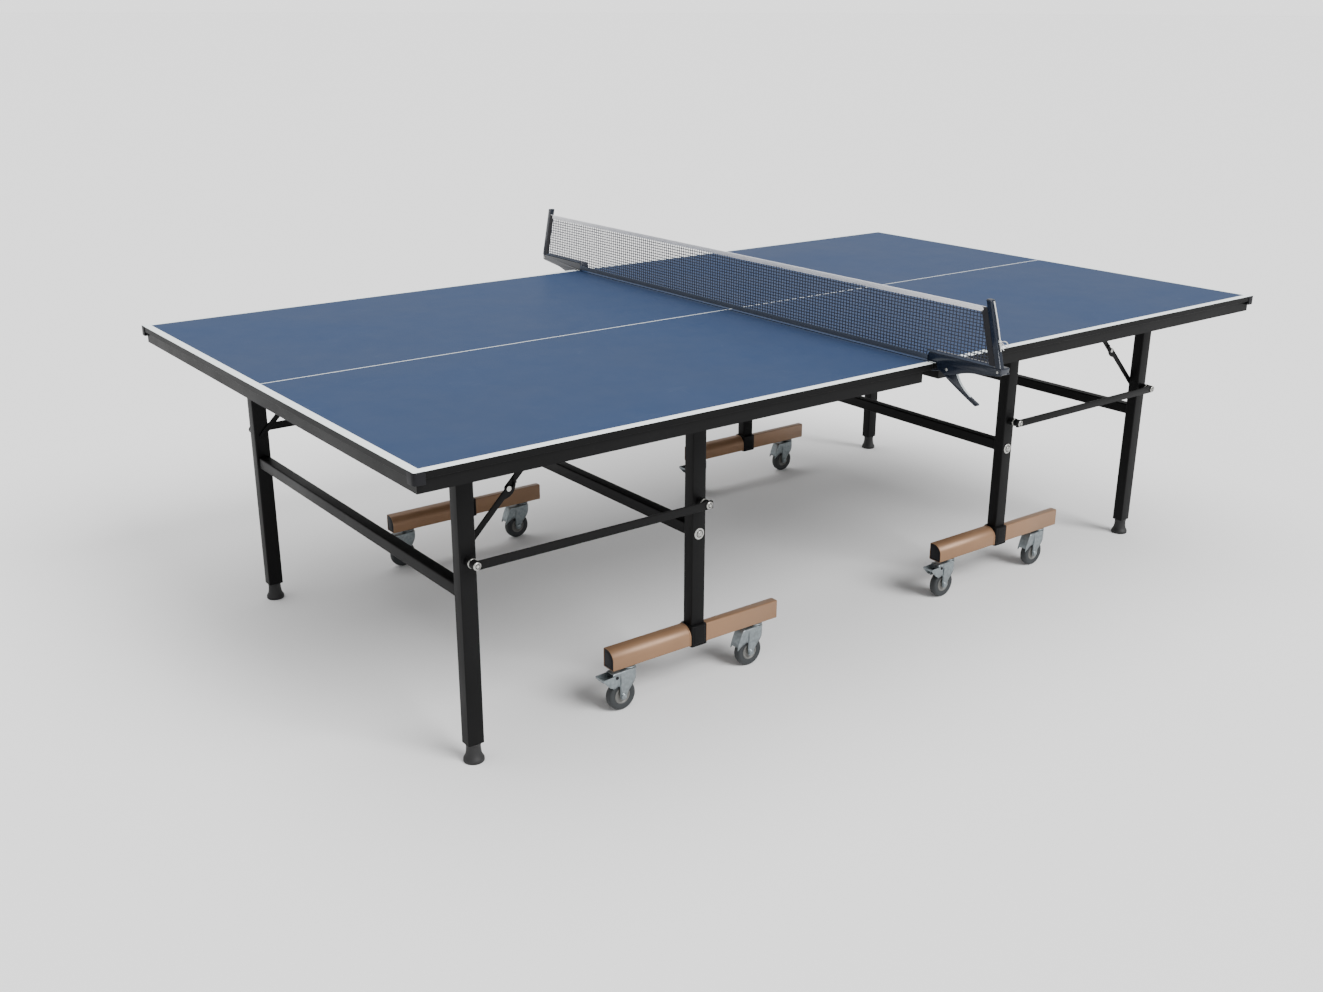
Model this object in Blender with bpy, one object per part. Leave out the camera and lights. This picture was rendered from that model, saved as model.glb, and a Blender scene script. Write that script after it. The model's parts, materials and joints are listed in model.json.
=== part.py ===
"""Roll-away table tennis table in two folding halves, with its net set.

Metres, +Z up. The origin is on the floor under the middle of the net, +X runs along the
table to the right half's end, and the near long side faces -Y.

Each half is a board on a steel apron frame, carried by two wheel legs that stand on caster
bars and by an end leg frame on rubber feet. Folding a half tips its top about the wheel legs'
upper pins, while two link bars keep the end legs upright and two jointed braces close.
"""

import math

import bmesh
import bpy
from mathutils import Matrix, Vector

# ---- driving dimensions, metres ----
TABLE_LENGTH = 2.740
TABLE_WIDTH = 1.525
TABLE_HEIGHT = 0.760
BOARD = 0.015
BOARD_CORNER = 0.004
BOARD_EDGE = 0.0008
HALF_GAP = 0.005
FIT = 0.0003
CUT_PAST = 0.010

APRON_BOTTOM = 0.715
APRON_INSET = 0.010
APRON_NET_GAP = 0.028
APRON_FLANGE = 0.020
SHEET = 0.003
RAIL_WIDTH = 0.025
RAIL_BOTTOM = 0.720

LEG_X = 0.035
LEG_Y = 0.030
LEG_WALL = 0.002
LEG_CORNER = 0.006
LEG_SPREAD = 0.550
LEG_TOP = 0.732
WHEEL_LEG_AT = 0.550
END_LEG_AT = 1.160
FOLD_PIVOT_Z = 0.720
END_TUBE_BOTTOM = 0.045
CROSSBAR = 0.030
CROSSBAR_Z = 0.400
CROSSBAR_CORNER = 0.004
DRAIN_R = 0.004
DRAIN_SPREAD = 0.400

PIN_R = 0.005
PIN_HOLE_R = 0.0058
EAR = 0.004
EAR_R = 0.010
EAR_CLEAR = 0.0012
RAIL_FROM_PIVOT = 0.0425

LINK_Z = 0.475
LINK_TALL = 0.020
LINK_IN = 0.5975
LINK_THICK = 0.005
LINK_OVERRUN = 0.012
STUD_END = 0.0060
SPACER_R = 0.010

BRACE_TOP_AT = 0.915
BRACE_WIDE = 0.014
BRACE_THICK = 0.004
BRACE_PIN_R = 0.004
BRACE_HOLE_R = 0.0045
LOWER_BRACE_IN = 0.5297
UPPER_BRACE_IN = 0.5242

BAR_REACH = 0.250
BAR_LOW = 0.112
BAR_HIGH = 0.160
BAR_WIDE = 0.040
BAR_ARC = 0.026
BAR_WALL = 0.0025
BAR_SOLID_END = 0.006
COLLAR_LONG = 0.047
COLLAR_WALL = 0.003
CORE_SIDE = 0.030

FOOT_BASE_R = 0.0235
FOOT_NECK_R = 0.0165
FOOT_PLUG_R = 0.0115

KINGPIN_REACH = 0.195
WHEEL_R = 0.0375
WHEEL_WIDE = 0.022
TRAIL = 0.022
CHEEK_GAP = 0.0125
CHEEK = 0.0022
FORK_TOP = 0.1025
STEM_R = 0.006
AXLE_R = 0.004
BORE_R = 0.0044
PEDAL_PIVOT = (-0.042, 0.0915)

NET_X = 0.002
NET_THICK = 0.003
NET_LOW = 0.764
NET_TOP = 0.918
CLAMP_X = (0.0035, 0.033)
CLAMP_JAW = 0.735
CLAMP_END = 0.958
CLAMP_TOP = 0.784
CLAMP_TIP_LOW = 0.766
CHEEK_LOW = 0.7385
CHEEK_THICK = 0.0045
LEVER_PIVOT = (0.797, 0.750)
LEVER_X = (0.0085, 0.0272)
POST_BASE = (0.948, 0.7843)
POST_TOP = (0.906, 0.935)
POST_HALF = 0.0075
POST_X = 0.0085
CORD_R = 0.0014
CORD_KNOT_Z = 0.822
CORD_CLEAR = 0.003
CORD_BOW = 0.002

COLOURS = {
    "blue_board": ((0.056, 0.115, 0.240), 0.45, 0.0),
    "black_steel": ((0.030, 0.030, 0.031), 0.45, 0.0),
    "tan_steel": ((0.400, 0.240, 0.155), 0.42, 0.3),
    "zinc": ((0.50, 0.52, 0.54), 0.35, 0.9),
    "grey_rubber": ((0.120, 0.135, 0.145), 0.60, 0.0),
    "black_rubber": ((0.018, 0.018, 0.019), 0.75, 0.0),
    "navy_paint": ((0.025, 0.035, 0.060), 0.35, 0.0),
    "net_cloth": ((0.035, 0.060, 0.130), 0.85, 0.0),
    "white_cord": ((0.750, 0.760, 0.740), 0.80, 0.0),
}


# ---- tools ----
def clear_scene():
    for obj in list(bpy.data.objects):
        bpy.data.objects.remove(obj, do_unlink=True)


def material(name):
    """The named Principled material, made the first time that it is asked for."""
    found = bpy.data.materials.get(name)
    if found:
        return found
    colour, roughness, metallic = COLOURS[name]
    made = bpy.data.materials.new(name)
    made.use_nodes = True
    shader = made.node_tree.nodes["Principled BSDF"]
    shader.inputs["Base Color"].default_value = (*colour, 1.0)
    shader.inputs["Roughness"].default_value = roughness
    shader.inputs["Metallic"].default_value = metallic
    return made


def to_world(axis, a, b, c):
    """A point from its two outline coordinates and its place c along the axis."""
    return {"X": Vector((c, a, b)), "Y": Vector((a, c, b)), "Z": Vector((a, b, c))}[axis]


def mesh_object(name, bm):
    bmesh.ops.recalc_face_normals(bm, faces=bm.faces)
    mesh = bpy.data.meshes.new(name)
    bm.to_mesh(mesh)
    bm.free()
    obj = bpy.data.objects.new(name, mesh)
    bpy.context.scene.collection.objects.link(obj)
    return obj


def prism(axis, outline, low, high, name="shape"):
    """The outline, in the two other axes' coordinates, extruded from low to high along axis."""
    bm = bmesh.new()
    face = bm.faces.new([bm.verts.new(to_world(axis, a, b, low)) for a, b in outline])
    grown = bmesh.ops.extrude_face_region(bm, geom=[face])["geom"]
    tops = [item for item in grown if isinstance(item, bmesh.types.BMVert)]
    bmesh.ops.translate(bm, verts=tops, vec=to_world(axis, 0, 0, high - low))
    return mesh_object(name, bm)


def turned(axis, centre, profile, steps, name="shape"):
    """The profile's (radius, place along the axis) points spun about a line through centre."""
    bm = bmesh.new()
    verts = [bm.verts.new(to_world(axis, r, 0, at)) for r, at in profile]
    closed = profile[0][0] > 0
    pairs = list(zip(verts, verts[1:] + verts[:1])) if closed else list(zip(verts, verts[1:]))
    edges = [bm.edges.new(pair) for pair in pairs]
    bmesh.ops.spin(
        bm, geom=verts + edges, cent=(0, 0, 0), axis=to_world(axis, 0, 0, 1),
        angle=math.tau, steps=steps, use_merge=True,
    )
    bmesh.ops.remove_doubles(bm, verts=bm.verts, dist=1e-6)
    bmesh.ops.translate(bm, verts=bm.verts, vec=to_world(axis, *centre, 0))
    return mesh_object(name, bm)


def rod(axis, centre, radius, low, high, steps=12):
    return turned(axis, centre, [(0, low), (radius, low), (radius, high), (0, high)], steps)


def box_outline(a0, a1, b0, b1):
    return [(a0, b0), (a1, b0), (a1, b1), (a0, b1)]


def arc(centre, radius, start, end, steps):
    """Points on a circle from start to end degrees, both ends included."""
    turns = [math.radians(start + (end - start) * i / steps) for i in range(steps + 1)]
    return [(centre[0] + radius * math.cos(t), centre[1] + radius * math.sin(t)) for t in turns]


def rounded_box(centre, wide, tall, corner, steps=2):
    """A rectangle's outline with each corner an arc."""
    a, b = wide / 2 - corner, tall / 2 - corner
    points = []
    for i, (ka, kb) in enumerate(((1, 1), (-1, 1), (-1, -1), (1, -1))):
        middle = (centre[0] + ka * a, centre[1] + kb * b)
        points += arc(middle, corner, 90 * i, 90 * i + 90, steps)
    return points


def capsule(start, end, half, steps=4):
    """The outline of a bar from start to end with round ends."""
    turn = math.degrees(math.atan2(end[1] - start[1], end[0] - start[0]))
    return arc(end, half, turn - 90, turn + 90, steps) + arc(start, half, turn + 90, turn + 270, steps)


def as_helper(obj, group):
    for owner in list(obj.users_collection):
        owner.objects.unlink(obj)
    group.objects.link(obj)
    obj.hide_render = True
    obj.display_type = "WIRE"


def shaped(base, add=(), cut=()):
    """Base with the added shapes joined on and the cutters taken away, as one plain mesh."""
    for operation, tools in (("UNION", add), ("DIFFERENCE", cut)):
        if not tools:
            continue
        group = bpy.data.collections.new("helpers")
        bpy.context.scene.collection.children.link(group)
        for tool in tools:
            as_helper(tool, group)
        modifier = base.modifiers.new(operation.lower(), "BOOLEAN")
        modifier.operation = operation
        modifier.solver = "EXACT"
        modifier.operand_type = "COLLECTION"
        modifier.collection = group
    bpy.context.view_layer.update()
    graph = bpy.context.evaluated_depsgraph_get()
    mesh = bpy.data.meshes.new_from_object(base.evaluated_get(graph))
    base.modifiers.clear()
    base.data = mesh
    for tool in (*add, *cut):
        bpy.data.objects.remove(tool, do_unlink=True)
    for group in list(bpy.data.collections):
        if group.name.startswith("helpers"):
            bpy.data.collections.remove(group)
    return base


def finish(obj, name, look, pivot=(0.0, 0.0, 0.0)):
    """Names the piece, colours it, smooths its round faces and puts its origin on its pivot."""
    obj.name = name
    obj.data.name = name
    obj.data.materials.clear()
    obj.data.materials.append(material(look))
    obj.data.shade_smooth()
    obj.data.set_sharp_from_angle(angle=math.radians(35))
    place_origin(obj, pivot)
    return obj


def place_origin(obj, pivot):
    obj.data.transform(Matrix.Translation(-Vector(pivot)))
    obj.location = Vector(pivot)


def copy_at(source, name, pivot):
    """Another object on the same mesh, at its own pivot."""
    made = bpy.data.objects.new(name, source.data)
    made.location = Vector(pivot)
    bpy.context.scene.collection.objects.link(made)
    return made


def axis_empty(name, place):
    """An empty that marks a joint's axis, to hold the pieces that turn about it."""
    empty = bpy.data.objects.new(name, None)
    empty.empty_display_size = 0.05
    empty.location = Vector(place)
    bpy.context.scene.collection.objects.link(empty)
    return empty


def hang_on(empty, pieces):
    for piece in pieces:
        piece.parent = empty
        piece.matrix_parent_inverse = Matrix.Translation(-empty.location)


def ordered(a, b):
    return (a, b) if a < b else (b, a)


# ---- top: board and apron frame; side is -1 for the left half and +1 for the right ----
def board(half, side):
    x0, x1 = ordered(side * HALF_GAP / 2, side * TABLE_LENGTH / 2)
    outline = rounded_box(((x0 + x1) / 2, 0), x1 - x0, TABLE_WIDTH, BOARD_CORNER)
    made = prism("Z", outline, TABLE_HEIGHT - BOARD, TABLE_HEIGHT)
    bevel = made.modifiers.new("edge", "BEVEL")
    bevel.width = BOARD_EDGE
    bevel.segments = 1
    bevel.angle_limit = math.radians(60)
    return finish(made, f"{half}_board", "blue_board")


def channel(middle, side_length):
    """A crossrail: a channel that is open below, lying along Y."""
    half = RAIL_WIDTH / 2
    top = TABLE_HEIGHT - BOARD - 0.0006
    inner = half - SHEET
    outline = [
        (middle - half, RAIL_BOTTOM), (middle - inner, RAIL_BOTTOM), (middle - inner, top - SHEET),
        (middle + inner, top - SHEET), (middle + inner, RAIL_BOTTOM), (middle + half, RAIL_BOTTOM),
        (middle + half, top), (middle - half, top),
    ]
    return prism("Y", outline, -side_length, side_length)


def ear(pivot, toward, y_low, y_high, reach, top):
    """A hinge plate round a pivot, which reaches a crossrail on its toward side."""
    tail = pivot + toward * reach
    nose = pivot - toward * EAR_R
    lower = [(pivot + toward * EAR_R * math.sin(math.radians(t)),
              FOLD_PIVOT_Z - EAR_R * math.cos(math.radians(t))) for t in (-60, -30, 0)]
    outline = [(nose, top), (nose, FOLD_PIVOT_Z)] + lower + [(tail, RAIL_BOTTOM + 0.002), (tail, top)]
    return prism("Y", outline, y_low, y_high)


def apron_frame(half, side):
    """A ring of steel angle with three crossrails, and the fold hinges' ears and pins."""
    top = TABLE_HEIGHT - BOARD - FIT
    outer_y = TABLE_WIDTH / 2 - APRON_INSET
    end = side * (TABLE_LENGTH / 2 - APRON_INSET)
    net_end = side * APRON_NET_GAP
    inner_y = outer_y - APRON_FLANGE

    def angle(outer, inward):
        web, flange = outer + inward * SHEET, outer + inward * APRON_FLANGE
        return [(outer, APRON_BOTTOM), (web, APRON_BOTTOM), (web, top - SHEET),
                (flange, top - SHEET), (flange, top), (outer, top)]

    base = prism("X", angle(-outer_y, 1), *ordered(net_end, end))
    pieces = [prism("X", angle(outer_y, -1), *ordered(net_end, end))]
    pieces += [prism("Y", angle(x, inward), -outer_y, outer_y)
               for x, inward in ((end, -side), (net_end, side))]
    ear_top = top - EAR_CLEAR
    for pivot in (side * WHEEL_LEG_AT, side * END_LEG_AT):
        pieces.append(channel(pivot + side * RAIL_FROM_PIVOT, inner_y + 0.001))
        for y in (-LEG_SPREAD, LEG_SPREAD):
            inner, outer = y - LEG_Y / 2 - EAR_CLEAR, y + LEG_Y / 2 + EAR_CLEAR
            pieces.append(ear(pivot, side, inner - EAR, inner, RAIL_FROM_PIVOT - 0.010, ear_top))
            pieces.append(ear(pivot, side, outer, outer + EAR, RAIL_FROM_PIVOT - 0.010, ear_top))
            pieces.append(rod("Y", (pivot, FOLD_PIVOT_Z), PIN_R, inner - EAR / 2, outer + EAR / 2))
    brace_rail = side * (BRACE_TOP_AT - 0.0275)
    pieces.append(channel(brace_rail, inner_y + 0.001))
    for y_sign in (-1, 1):
        low, high = ordered(y_sign * LOWER_BRACE_IN, y_sign * (LOWER_BRACE_IN + BRACE_THICK))
        pieces.append(ear(side * BRACE_TOP_AT, -side, low, high, 0.0175, ear_top))
        low, high = ordered(y_sign * (UPPER_BRACE_IN - 0.001), y_sign * (LOWER_BRACE_IN + 0.002))
        pieces.append(rod("Y", (side * BRACE_TOP_AT, FOLD_PIVOT_Z), BRACE_PIN_R, low, high, 12))
    return finish(shaped(base, add=pieces), f"{half}_apron_frame", "black_steel")


# ---- legs ----
def tube_z(x, y, wide, deep, low, high):
    """An upright rounded tube with open ends."""
    outer = prism("Z", rounded_box((x, y), wide, deep, LEG_CORNER), low, high)
    inner = rounded_box((x, y), wide - 2 * LEG_WALL, deep - 2 * LEG_WALL, LEG_CORNER - LEG_WALL)
    return outer, prism("Z", inner, low - CUT_PAST, high + CUT_PAST)


def link_stud(x, y_sign):
    """The spacer and the stud on a leg's outer face that carry a link bar."""
    face = LEG_SPREAD + LEG_Y / 2
    spacer = ordered(y_sign * (face - LEG_WALL / 2), y_sign * (LINK_IN - FIT))
    stud = ordered(y_sign * (face - LEG_WALL / 2), y_sign * (LINK_IN + STUD_END + 0.001))
    return [rod("Y", (x, LINK_Z), SPACER_R, *spacer), rod("Y", (x, LINK_Z), PIN_R, *stud)]


def pin_hole(x, y, radius=PIN_HOLE_R):
    return rod("Y", (x, FOLD_PIVOT_Z), radius, y - LEG_Y, y + LEG_Y)


def wheel_leg(half, side, name, y_sign):
    """An upright tube on a collar that wraps the caster bar."""
    x, y = side * WHEEL_LEG_AT, y_sign * LEG_SPREAD
    bottom = BAR_LOW - COLLAR_WALL
    collar_top = BAR_HIGH + COLLAR_WALL + 0.004
    outer, bore = tube_z(x, y, LEG_X, LEG_Y, collar_top - 0.002, LEG_TOP)
    floor = prism("Z", rounded_box((x, y), LEG_X, LEG_Y, LEG_CORNER), BAR_HIGH + 0.0015, collar_top)
    collar = prism(
        "Z", rounded_box((x, y), COLLAR_LONG, BAR_WIDE + 2 * COLLAR_WALL, 0.004), bottom, collar_top
    )
    tube = shaped(outer, cut=[bore])
    leg = shaped(tube, add=[floor, collar, *link_stud(x, y_sign)])
    way = prism(
        "X",
        box_outline(y - CORE_SIDE / 2 - FIT, y + CORE_SIDE / 2 + FIT, BAR_LOW + 0.0025, BAR_HIGH - 0.0025),
        x - COLLAR_LONG, x + COLLAR_LONG,
    )
    leg = shaped(leg, cut=[way, pin_hole(x, y)])
    return finish(leg, f"{half}_{name}_wheel_leg", "black_steel")


def crossbar_bore(x):
    inner = CROSSBAR - 2 * LEG_WALL
    return rounded_box((x, CROSSBAR_Z), inner, inner, CROSSBAR_CORNER - LEG_WALL / 2)


def wheel_leg_crossbar(half, side):
    x = side * WHEEL_LEG_AT
    reach = LEG_SPREAD - LEG_Y / 2 - FIT
    bar = prism("Y", rounded_box((x, CROSSBAR_Z), CROSSBAR, CROSSBAR, CROSSBAR_CORNER), -reach, reach)
    bore = prism("Y", crossbar_bore(x), -reach - CUT_PAST, reach + CUT_PAST)
    return finish(shaped(bar, cut=[bore]), f"{half}_wheel_leg_crossbar", "black_steel")


def end_leg_frame(half, side):
    """Two end legs with the crossbar welded between them, and the pins of links and braces."""
    x = side * END_LEG_AT
    legs, bores, fittings = [], [], []
    for y_sign in (-1, 1):
        y = y_sign * LEG_SPREAD
        outer, bore = tube_z(x, y, LEG_X, LEG_Y, END_TUBE_BOTTOM, LEG_TOP)
        legs.append(outer)
        bores.append(bore)
        fittings += link_stud(x, y_sign)
        inner_face = LEG_SPREAD - LEG_Y / 2
        low, high = ordered(y_sign * (LOWER_BRACE_IN - 0.0005), y_sign * (inner_face + LEG_WALL / 2))
        fittings.append(rod("Y", (x, LINK_Z), BRACE_PIN_R, low, high, 12))
    reach = LEG_SPREAD - LEG_Y / 2 + LEG_WALL / 2
    bar = prism("Y", rounded_box((x, CROSSBAR_Z), CROSSBAR, CROSSBAR, CROSSBAR_CORNER), -reach, reach)
    inside = prism("Y", crossbar_bore(x), -reach + LEG_WALL, reach - LEG_WALL)
    drains = [rod("Z", (x, y), DRAIN_R, CROSSBAR_Z - CROSSBAR, CROSSBAR_Z, 8)
              for y in (-DRAIN_SPREAD, DRAIN_SPREAD)]
    bar = shaped(bar, cut=[inside, *drains])
    near = shaped(legs[0], cut=[bores[0]])
    far = shaped(legs[1], cut=[bores[1]])
    frame = shaped(near, add=[far, bar, *fittings])
    frame = shaped(frame, cut=[pin_hole(x, y) for y in (-LEG_SPREAD, LEG_SPREAD)])
    return finish(frame, f"{half}_end_leg_frame", "black_steel", (x, 0, FOLD_PIVOT_Z))


def rubber_foot(half, side, name, y_sign):
    """A flared rubber foot with a plug that goes up into the leg's open end."""
    lip = END_TUBE_BOTTOM - FIT
    profile = [
        (0, 0), (FOOT_BASE_R, 0), (FOOT_BASE_R - 0.001, 0.010),
        (FOOT_NECK_R + 0.001, 0.020), (FOOT_NECK_R, lip),
        (FOOT_PLUG_R, lip), (FOOT_PLUG_R - 0.001, lip + 0.028), (0, lip + 0.028),
    ]
    centre = (side * END_LEG_AT, y_sign * LEG_SPREAD)
    foot = turned("Z", centre, profile, 16)
    return finish(foot, f"{half}_{name}_foot", "black_rubber", (*centre, 0))


# ---- fold linkage ----
def link_bar(half, side, name, y_sign):
    """A flat bar from a wheel leg to an end leg, round at the end leg and square past the other."""
    wheel_x, end_x = side * WHEEL_LEG_AT, side * END_LEG_AT
    tall = LINK_TALL / 2
    square = wheel_x - side * LINK_OVERRUN
    round_end = arc((end_x, LINK_Z), tall, 90, 90 - side * 180, 6)
    outline = [(square, LINK_Z + tall)] + round_end + [(square, LINK_Z - tall)]
    low, high = ordered(y_sign * LINK_IN, y_sign * (LINK_IN + LINK_THICK))
    bar = prism("Y", outline, low, high)
    holes = [rod("Y", (x, LINK_Z), PIN_HOLE_R, low - CUT_PAST, high + CUT_PAST) for x in (wheel_x, end_x)]
    return finish(shaped(bar, cut=holes), f"{half}_{name}_link_bar", "black_steel",
                  (wheel_x, y_sign * LINK_IN, LINK_Z))


def brace_points(side):
    """The lower pivot, the knuckle and the upper pivot of an open brace."""
    lower = Vector((side * END_LEG_AT, LINK_Z))
    upper = Vector((side * BRACE_TOP_AT, FOLD_PIVOT_Z))
    return lower, (lower + upper) / 2, upper


def brace_bar(half, side, name, y_sign, part):
    """One of the two flat bars of a brace; lower and upper lie in planes next to each other."""
    lower, knuckle, upper = brace_points(side)
    pivot, inner = (lower, LOWER_BRACE_IN) if part == "lower" else (upper, UPPER_BRACE_IN)
    low, high = ordered(y_sign * inner, y_sign * (inner + BRACE_THICK))
    bar = prism("Y", capsule(pivot, knuckle, BRACE_WIDE / 2), low, high)
    hole = rod("Y", tuple(pivot), BRACE_HOLE_R, low - CUT_PAST, high + CUT_PAST, 12)
    return finish(shaped(bar, cut=[hole]), f"{half}_{name}_{part}_brace", "black_steel",
                  (pivot[0], y_sign * inner, pivot[1]))


# ---- caster bars and casters ----
def bar_outline(y, flat_side, inset=0.0):
    """A tube section with one flat upright side and a big round on its other upper corner."""
    wide, arc_r = BAR_WIDE / 2 - inset, BAR_ARC - inset
    low, high = BAR_LOW + inset, BAR_HIGH - inset
    points = [(wide, low), (wide, high)]
    points += arc((-wide + arc_r, high - arc_r), arc_r, 90, 180, 5)
    points.append((-wide, low))
    return [(y + flat_side * a, b) for a, b in points]


def caster_bar(half, side, name, y_sign):
    """Two hollow arms, turned opposite ways, on a solid core that the leg's collar holds."""
    x, y = side * WHEEL_LEG_AT, y_sign * LEG_SPREAD
    gap = COLLAR_LONG / 2 + FIT
    core = prism(
        "X",
        box_outline(y - CORE_SIDE / 2, y + CORE_SIDE / 2, BAR_LOW + 0.0028, BAR_HIGH - 0.0028),
        x - gap - 0.004, x + gap + 0.004,
    )
    arms, cutters = [], []
    for end, flat_side in ((-1, 1), (1, -1)):
        near, far = x + end * gap, x + end * BAR_REACH
        arms.append(prism("X", bar_outline(y, flat_side), *ordered(near, far)))
        cutters.append(prism("X", bar_outline(y, flat_side, BAR_WALL),
                             *ordered(near + end * BAR_SOLID_END, far + end * CUT_PAST)))
        cutters.append(rod("Z", (x + end * KINGPIN_REACH, y), STEM_R + 0.0006,
                           BAR_LOW - CUT_PAST, BAR_LOW + CUT_PAST))
    bar = shaped(core, add=arms)
    return finish(shaped(bar, cut=cutters), f"{half}_{name}_caster_bar", "tan_steel")


def fork_shape():
    """A caster fork about its kingpin: head, two cheeks, stem, axle and the pedal's pin."""
    ax, az = -TRAIL, WHEEL_R
    cheek = [(ax - 0.044, az + 0.014), (ax - 0.024, az + 0.027), (ax - 0.010, az + 0.030)]
    cheek += [(ax - 0.009, az)] + arc((ax, az), 0.009, 210, 330, 4)
    cheek += [(ax + 0.030, az + 0.030), (0.021, FORK_TOP - 0.014), (0.021, FORK_TOP - 0.0002),
              (ax - 0.034, FORK_TOP - 0.0002)]
    width = CHEEK_GAP + CHEEK
    sides = [prism("Y", cheek, *ordered(sign * CHEEK_GAP, sign * width)) for sign in (-1, 1)]
    plate = [(ax - 0.010, -width + 0.0001), (0.006, -width + 0.0001)]
    plate += arc((0.006, 0), width - 0.0001, -90, 90, 6) + [(ax - 0.010, width - 0.0001)]
    base = prism("Z", plate, FORK_TOP - CHEEK, FORK_TOP)
    head = rod("Z", (0, 0), 0.0185, FORK_TOP - 0.001, BAR_LOW - 0.0010, 14)
    stem = rod("Z", (0, 0), STEM_R, FORK_TOP - 0.001, BAR_LOW + 0.024, 10)
    axle = rod("Y", (ax, az), AXLE_R, -width - 0.002, width + 0.002, 10)
    pin = rod("Y", PEDAL_PIVOT, 0.002, -CHEEK_GAP - 0.001, CHEEK_GAP + 0.001, 8)
    return shaped(base, add=[*sides, head, stem, axle, pin])


def wheel_shape():
    """A caster wheel about its axle: a bored, slightly dished disc with a rounded tread."""
    half = WHEEL_WIDE / 2
    face = [(BORE_R, half), (0.0240, half - 0.0015), (WHEEL_R - 0.0035, half - 0.001),
            (WHEEL_R, half - 0.0055)]
    profile = face + [(r, -at) for r, at in reversed(face)]
    return turned("Y", (0, 0), profile, 20)


def pedal_shape():
    """A brake pedal about the kingpin: a plate between the cheeks with a down-turned tip."""
    px, pz = PEDAL_PIVOT
    outline = [(px + 0.010, pz - 0.0035), (px + 0.010, pz + 0.0045), (px - 0.006, pz + 0.0045),
               (px - 0.038, pz - 0.0035), (px - 0.040, pz - 0.0075), (px - 0.012, pz - 0.0065)]
    plate = prism("Y", outline, -CHEEK_GAP + 0.0008, CHEEK_GAP - 0.0008)
    hole = rod("Y", PEDAL_PIVOT, 0.0025, -0.03, 0.03, 10)
    return shaped(plate, cut=[hole])


def casters():
    """All forks, wheels and pedals; each copy shares its mesh, and its origin is on its joint."""
    fork = finish(fork_shape(), "fork_pattern", "zinc")
    wheel = finish(wheel_shape(), "wheel_pattern", "grey_rubber")
    pedal = finish(pedal_shape(), "pedal_pattern", "zinc")
    place_origin(pedal, (PEDAL_PIVOT[0], 0, PEDAL_PIVOT[1]))
    for half, side in (("left", -1), ("right", 1)):
        for name, y_sign in (("near", -1), ("far", 1)):
            for kind, end in (("braked", -1), ("plain", 1)):
                x = side * WHEEL_LEG_AT + end * KINGPIN_REACH
                y = y_sign * LEG_SPREAD
                label = f"{half}_{name}_{kind}"
                copy_at(fork, f"{label}_fork", (x, y, 0))
                copy_at(wheel, f"{label}_wheel", (x - TRAIL, y, WHEEL_R))
                if kind == "braked":
                    copy_at(pedal, f"{half}_{name}_brake_pedal",
                            (x + PEDAL_PIVOT[0], y, PEDAL_PIVOT[1]))
    for pattern in (fork, wheel, pedal):
        bpy.data.objects.remove(pattern, do_unlink=True)


# ---- net set, clamped on the right half ----
def across(points, y_sign):
    """Outline points given as (distance from the middle, height) as (y, z) on one long side."""
    return [(y_sign * out, z) for out, z in points]


def net_clamp(name, y_sign):
    """An arm whose jaw lies on the board, with two cheeks that hold the lever's pin."""
    x0, x1 = CLAMP_X
    edge = TABLE_WIDTH / 2 + FIT
    seat = TABLE_HEIGHT + FIT
    arm = [(CLAMP_JAW, seat), (edge, seat), (edge + 0.003, 0.7535), (CLAMP_END - 0.006, CLAMP_TIP_LOW),
           (CLAMP_END, CLAMP_TIP_LOW + 0.005), (CLAMP_END, CLAMP_TOP), (CLAMP_JAW + 0.006, CLAMP_TOP),
           (CLAMP_JAW, CLAMP_TOP - 0.006)]
    base = prism("X", across(arm, y_sign), x0, x1)
    cheek = [(edge + 0.004, 0.760), (edge + 0.004, 0.748), (0.790, CHEEK_LOW), (0.806, CHEEK_LOW),
             (0.835, 0.748), (0.845, 0.760)]
    pieces = [prism("X", across(cheek, y_sign), x0 + 0.0001, x0 + 0.0001 + CHEEK_THICK),
              prism("X", across(cheek, y_sign), x1 - 0.0001 - CHEEK_THICK, x1 - 0.0001)]
    pivot = (y_sign * LEVER_PIVOT[0], LEVER_PIVOT[1])
    pieces.append(rod("X", pivot, 0.0025, x0 + 0.001, x1 - 0.001, 10))
    notch = [(edge + 0.001, 0.7480), (edge + 0.001, 0.7602), (0.809, 0.7602), (0.850, 0.7480)]
    slot = prism("X", across(notch, y_sign), LEVER_X[0] - 0.0004, LEVER_X[1] + 0.0004)
    clamp = shaped(shaped(base, cut=[slot]), add=pieces)
    return finish(clamp, f"{name}_net_clamp", "navy_paint")


def clamp_lever(name, y_sign):
    """A sprung lever: a pad under the board, a bored middle and a curved handle."""
    py, pz = LEVER_PIVOT
    pad = TABLE_HEIGHT - BOARD - FIT
    outline = [(0.7400, pad - 0.010), (0.7400, pad), (0.7640, pad), (0.7700, pad + 0.0015),
               (py - 0.006, pz + 0.008), (py + 0.006, pz + 0.008), (0.8160, 0.7440),
               (0.8360, 0.7270), (0.8600, 0.7110), (0.8980, 0.6960), (0.8960, 0.6900),
               (0.8860, 0.6895), (0.8400, 0.7010), (0.7900, 0.7230)]
    lever = prism("X", across(outline, y_sign), *LEVER_X)
    hole = rod("X", (y_sign * py, pz), 0.0031, 0, 0.05, 12)
    return finish(shaped(lever, cut=[hole]), f"{name}_clamp_lever", "navy_paint",
                  (LEVER_X[0], y_sign * py, pz))


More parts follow.
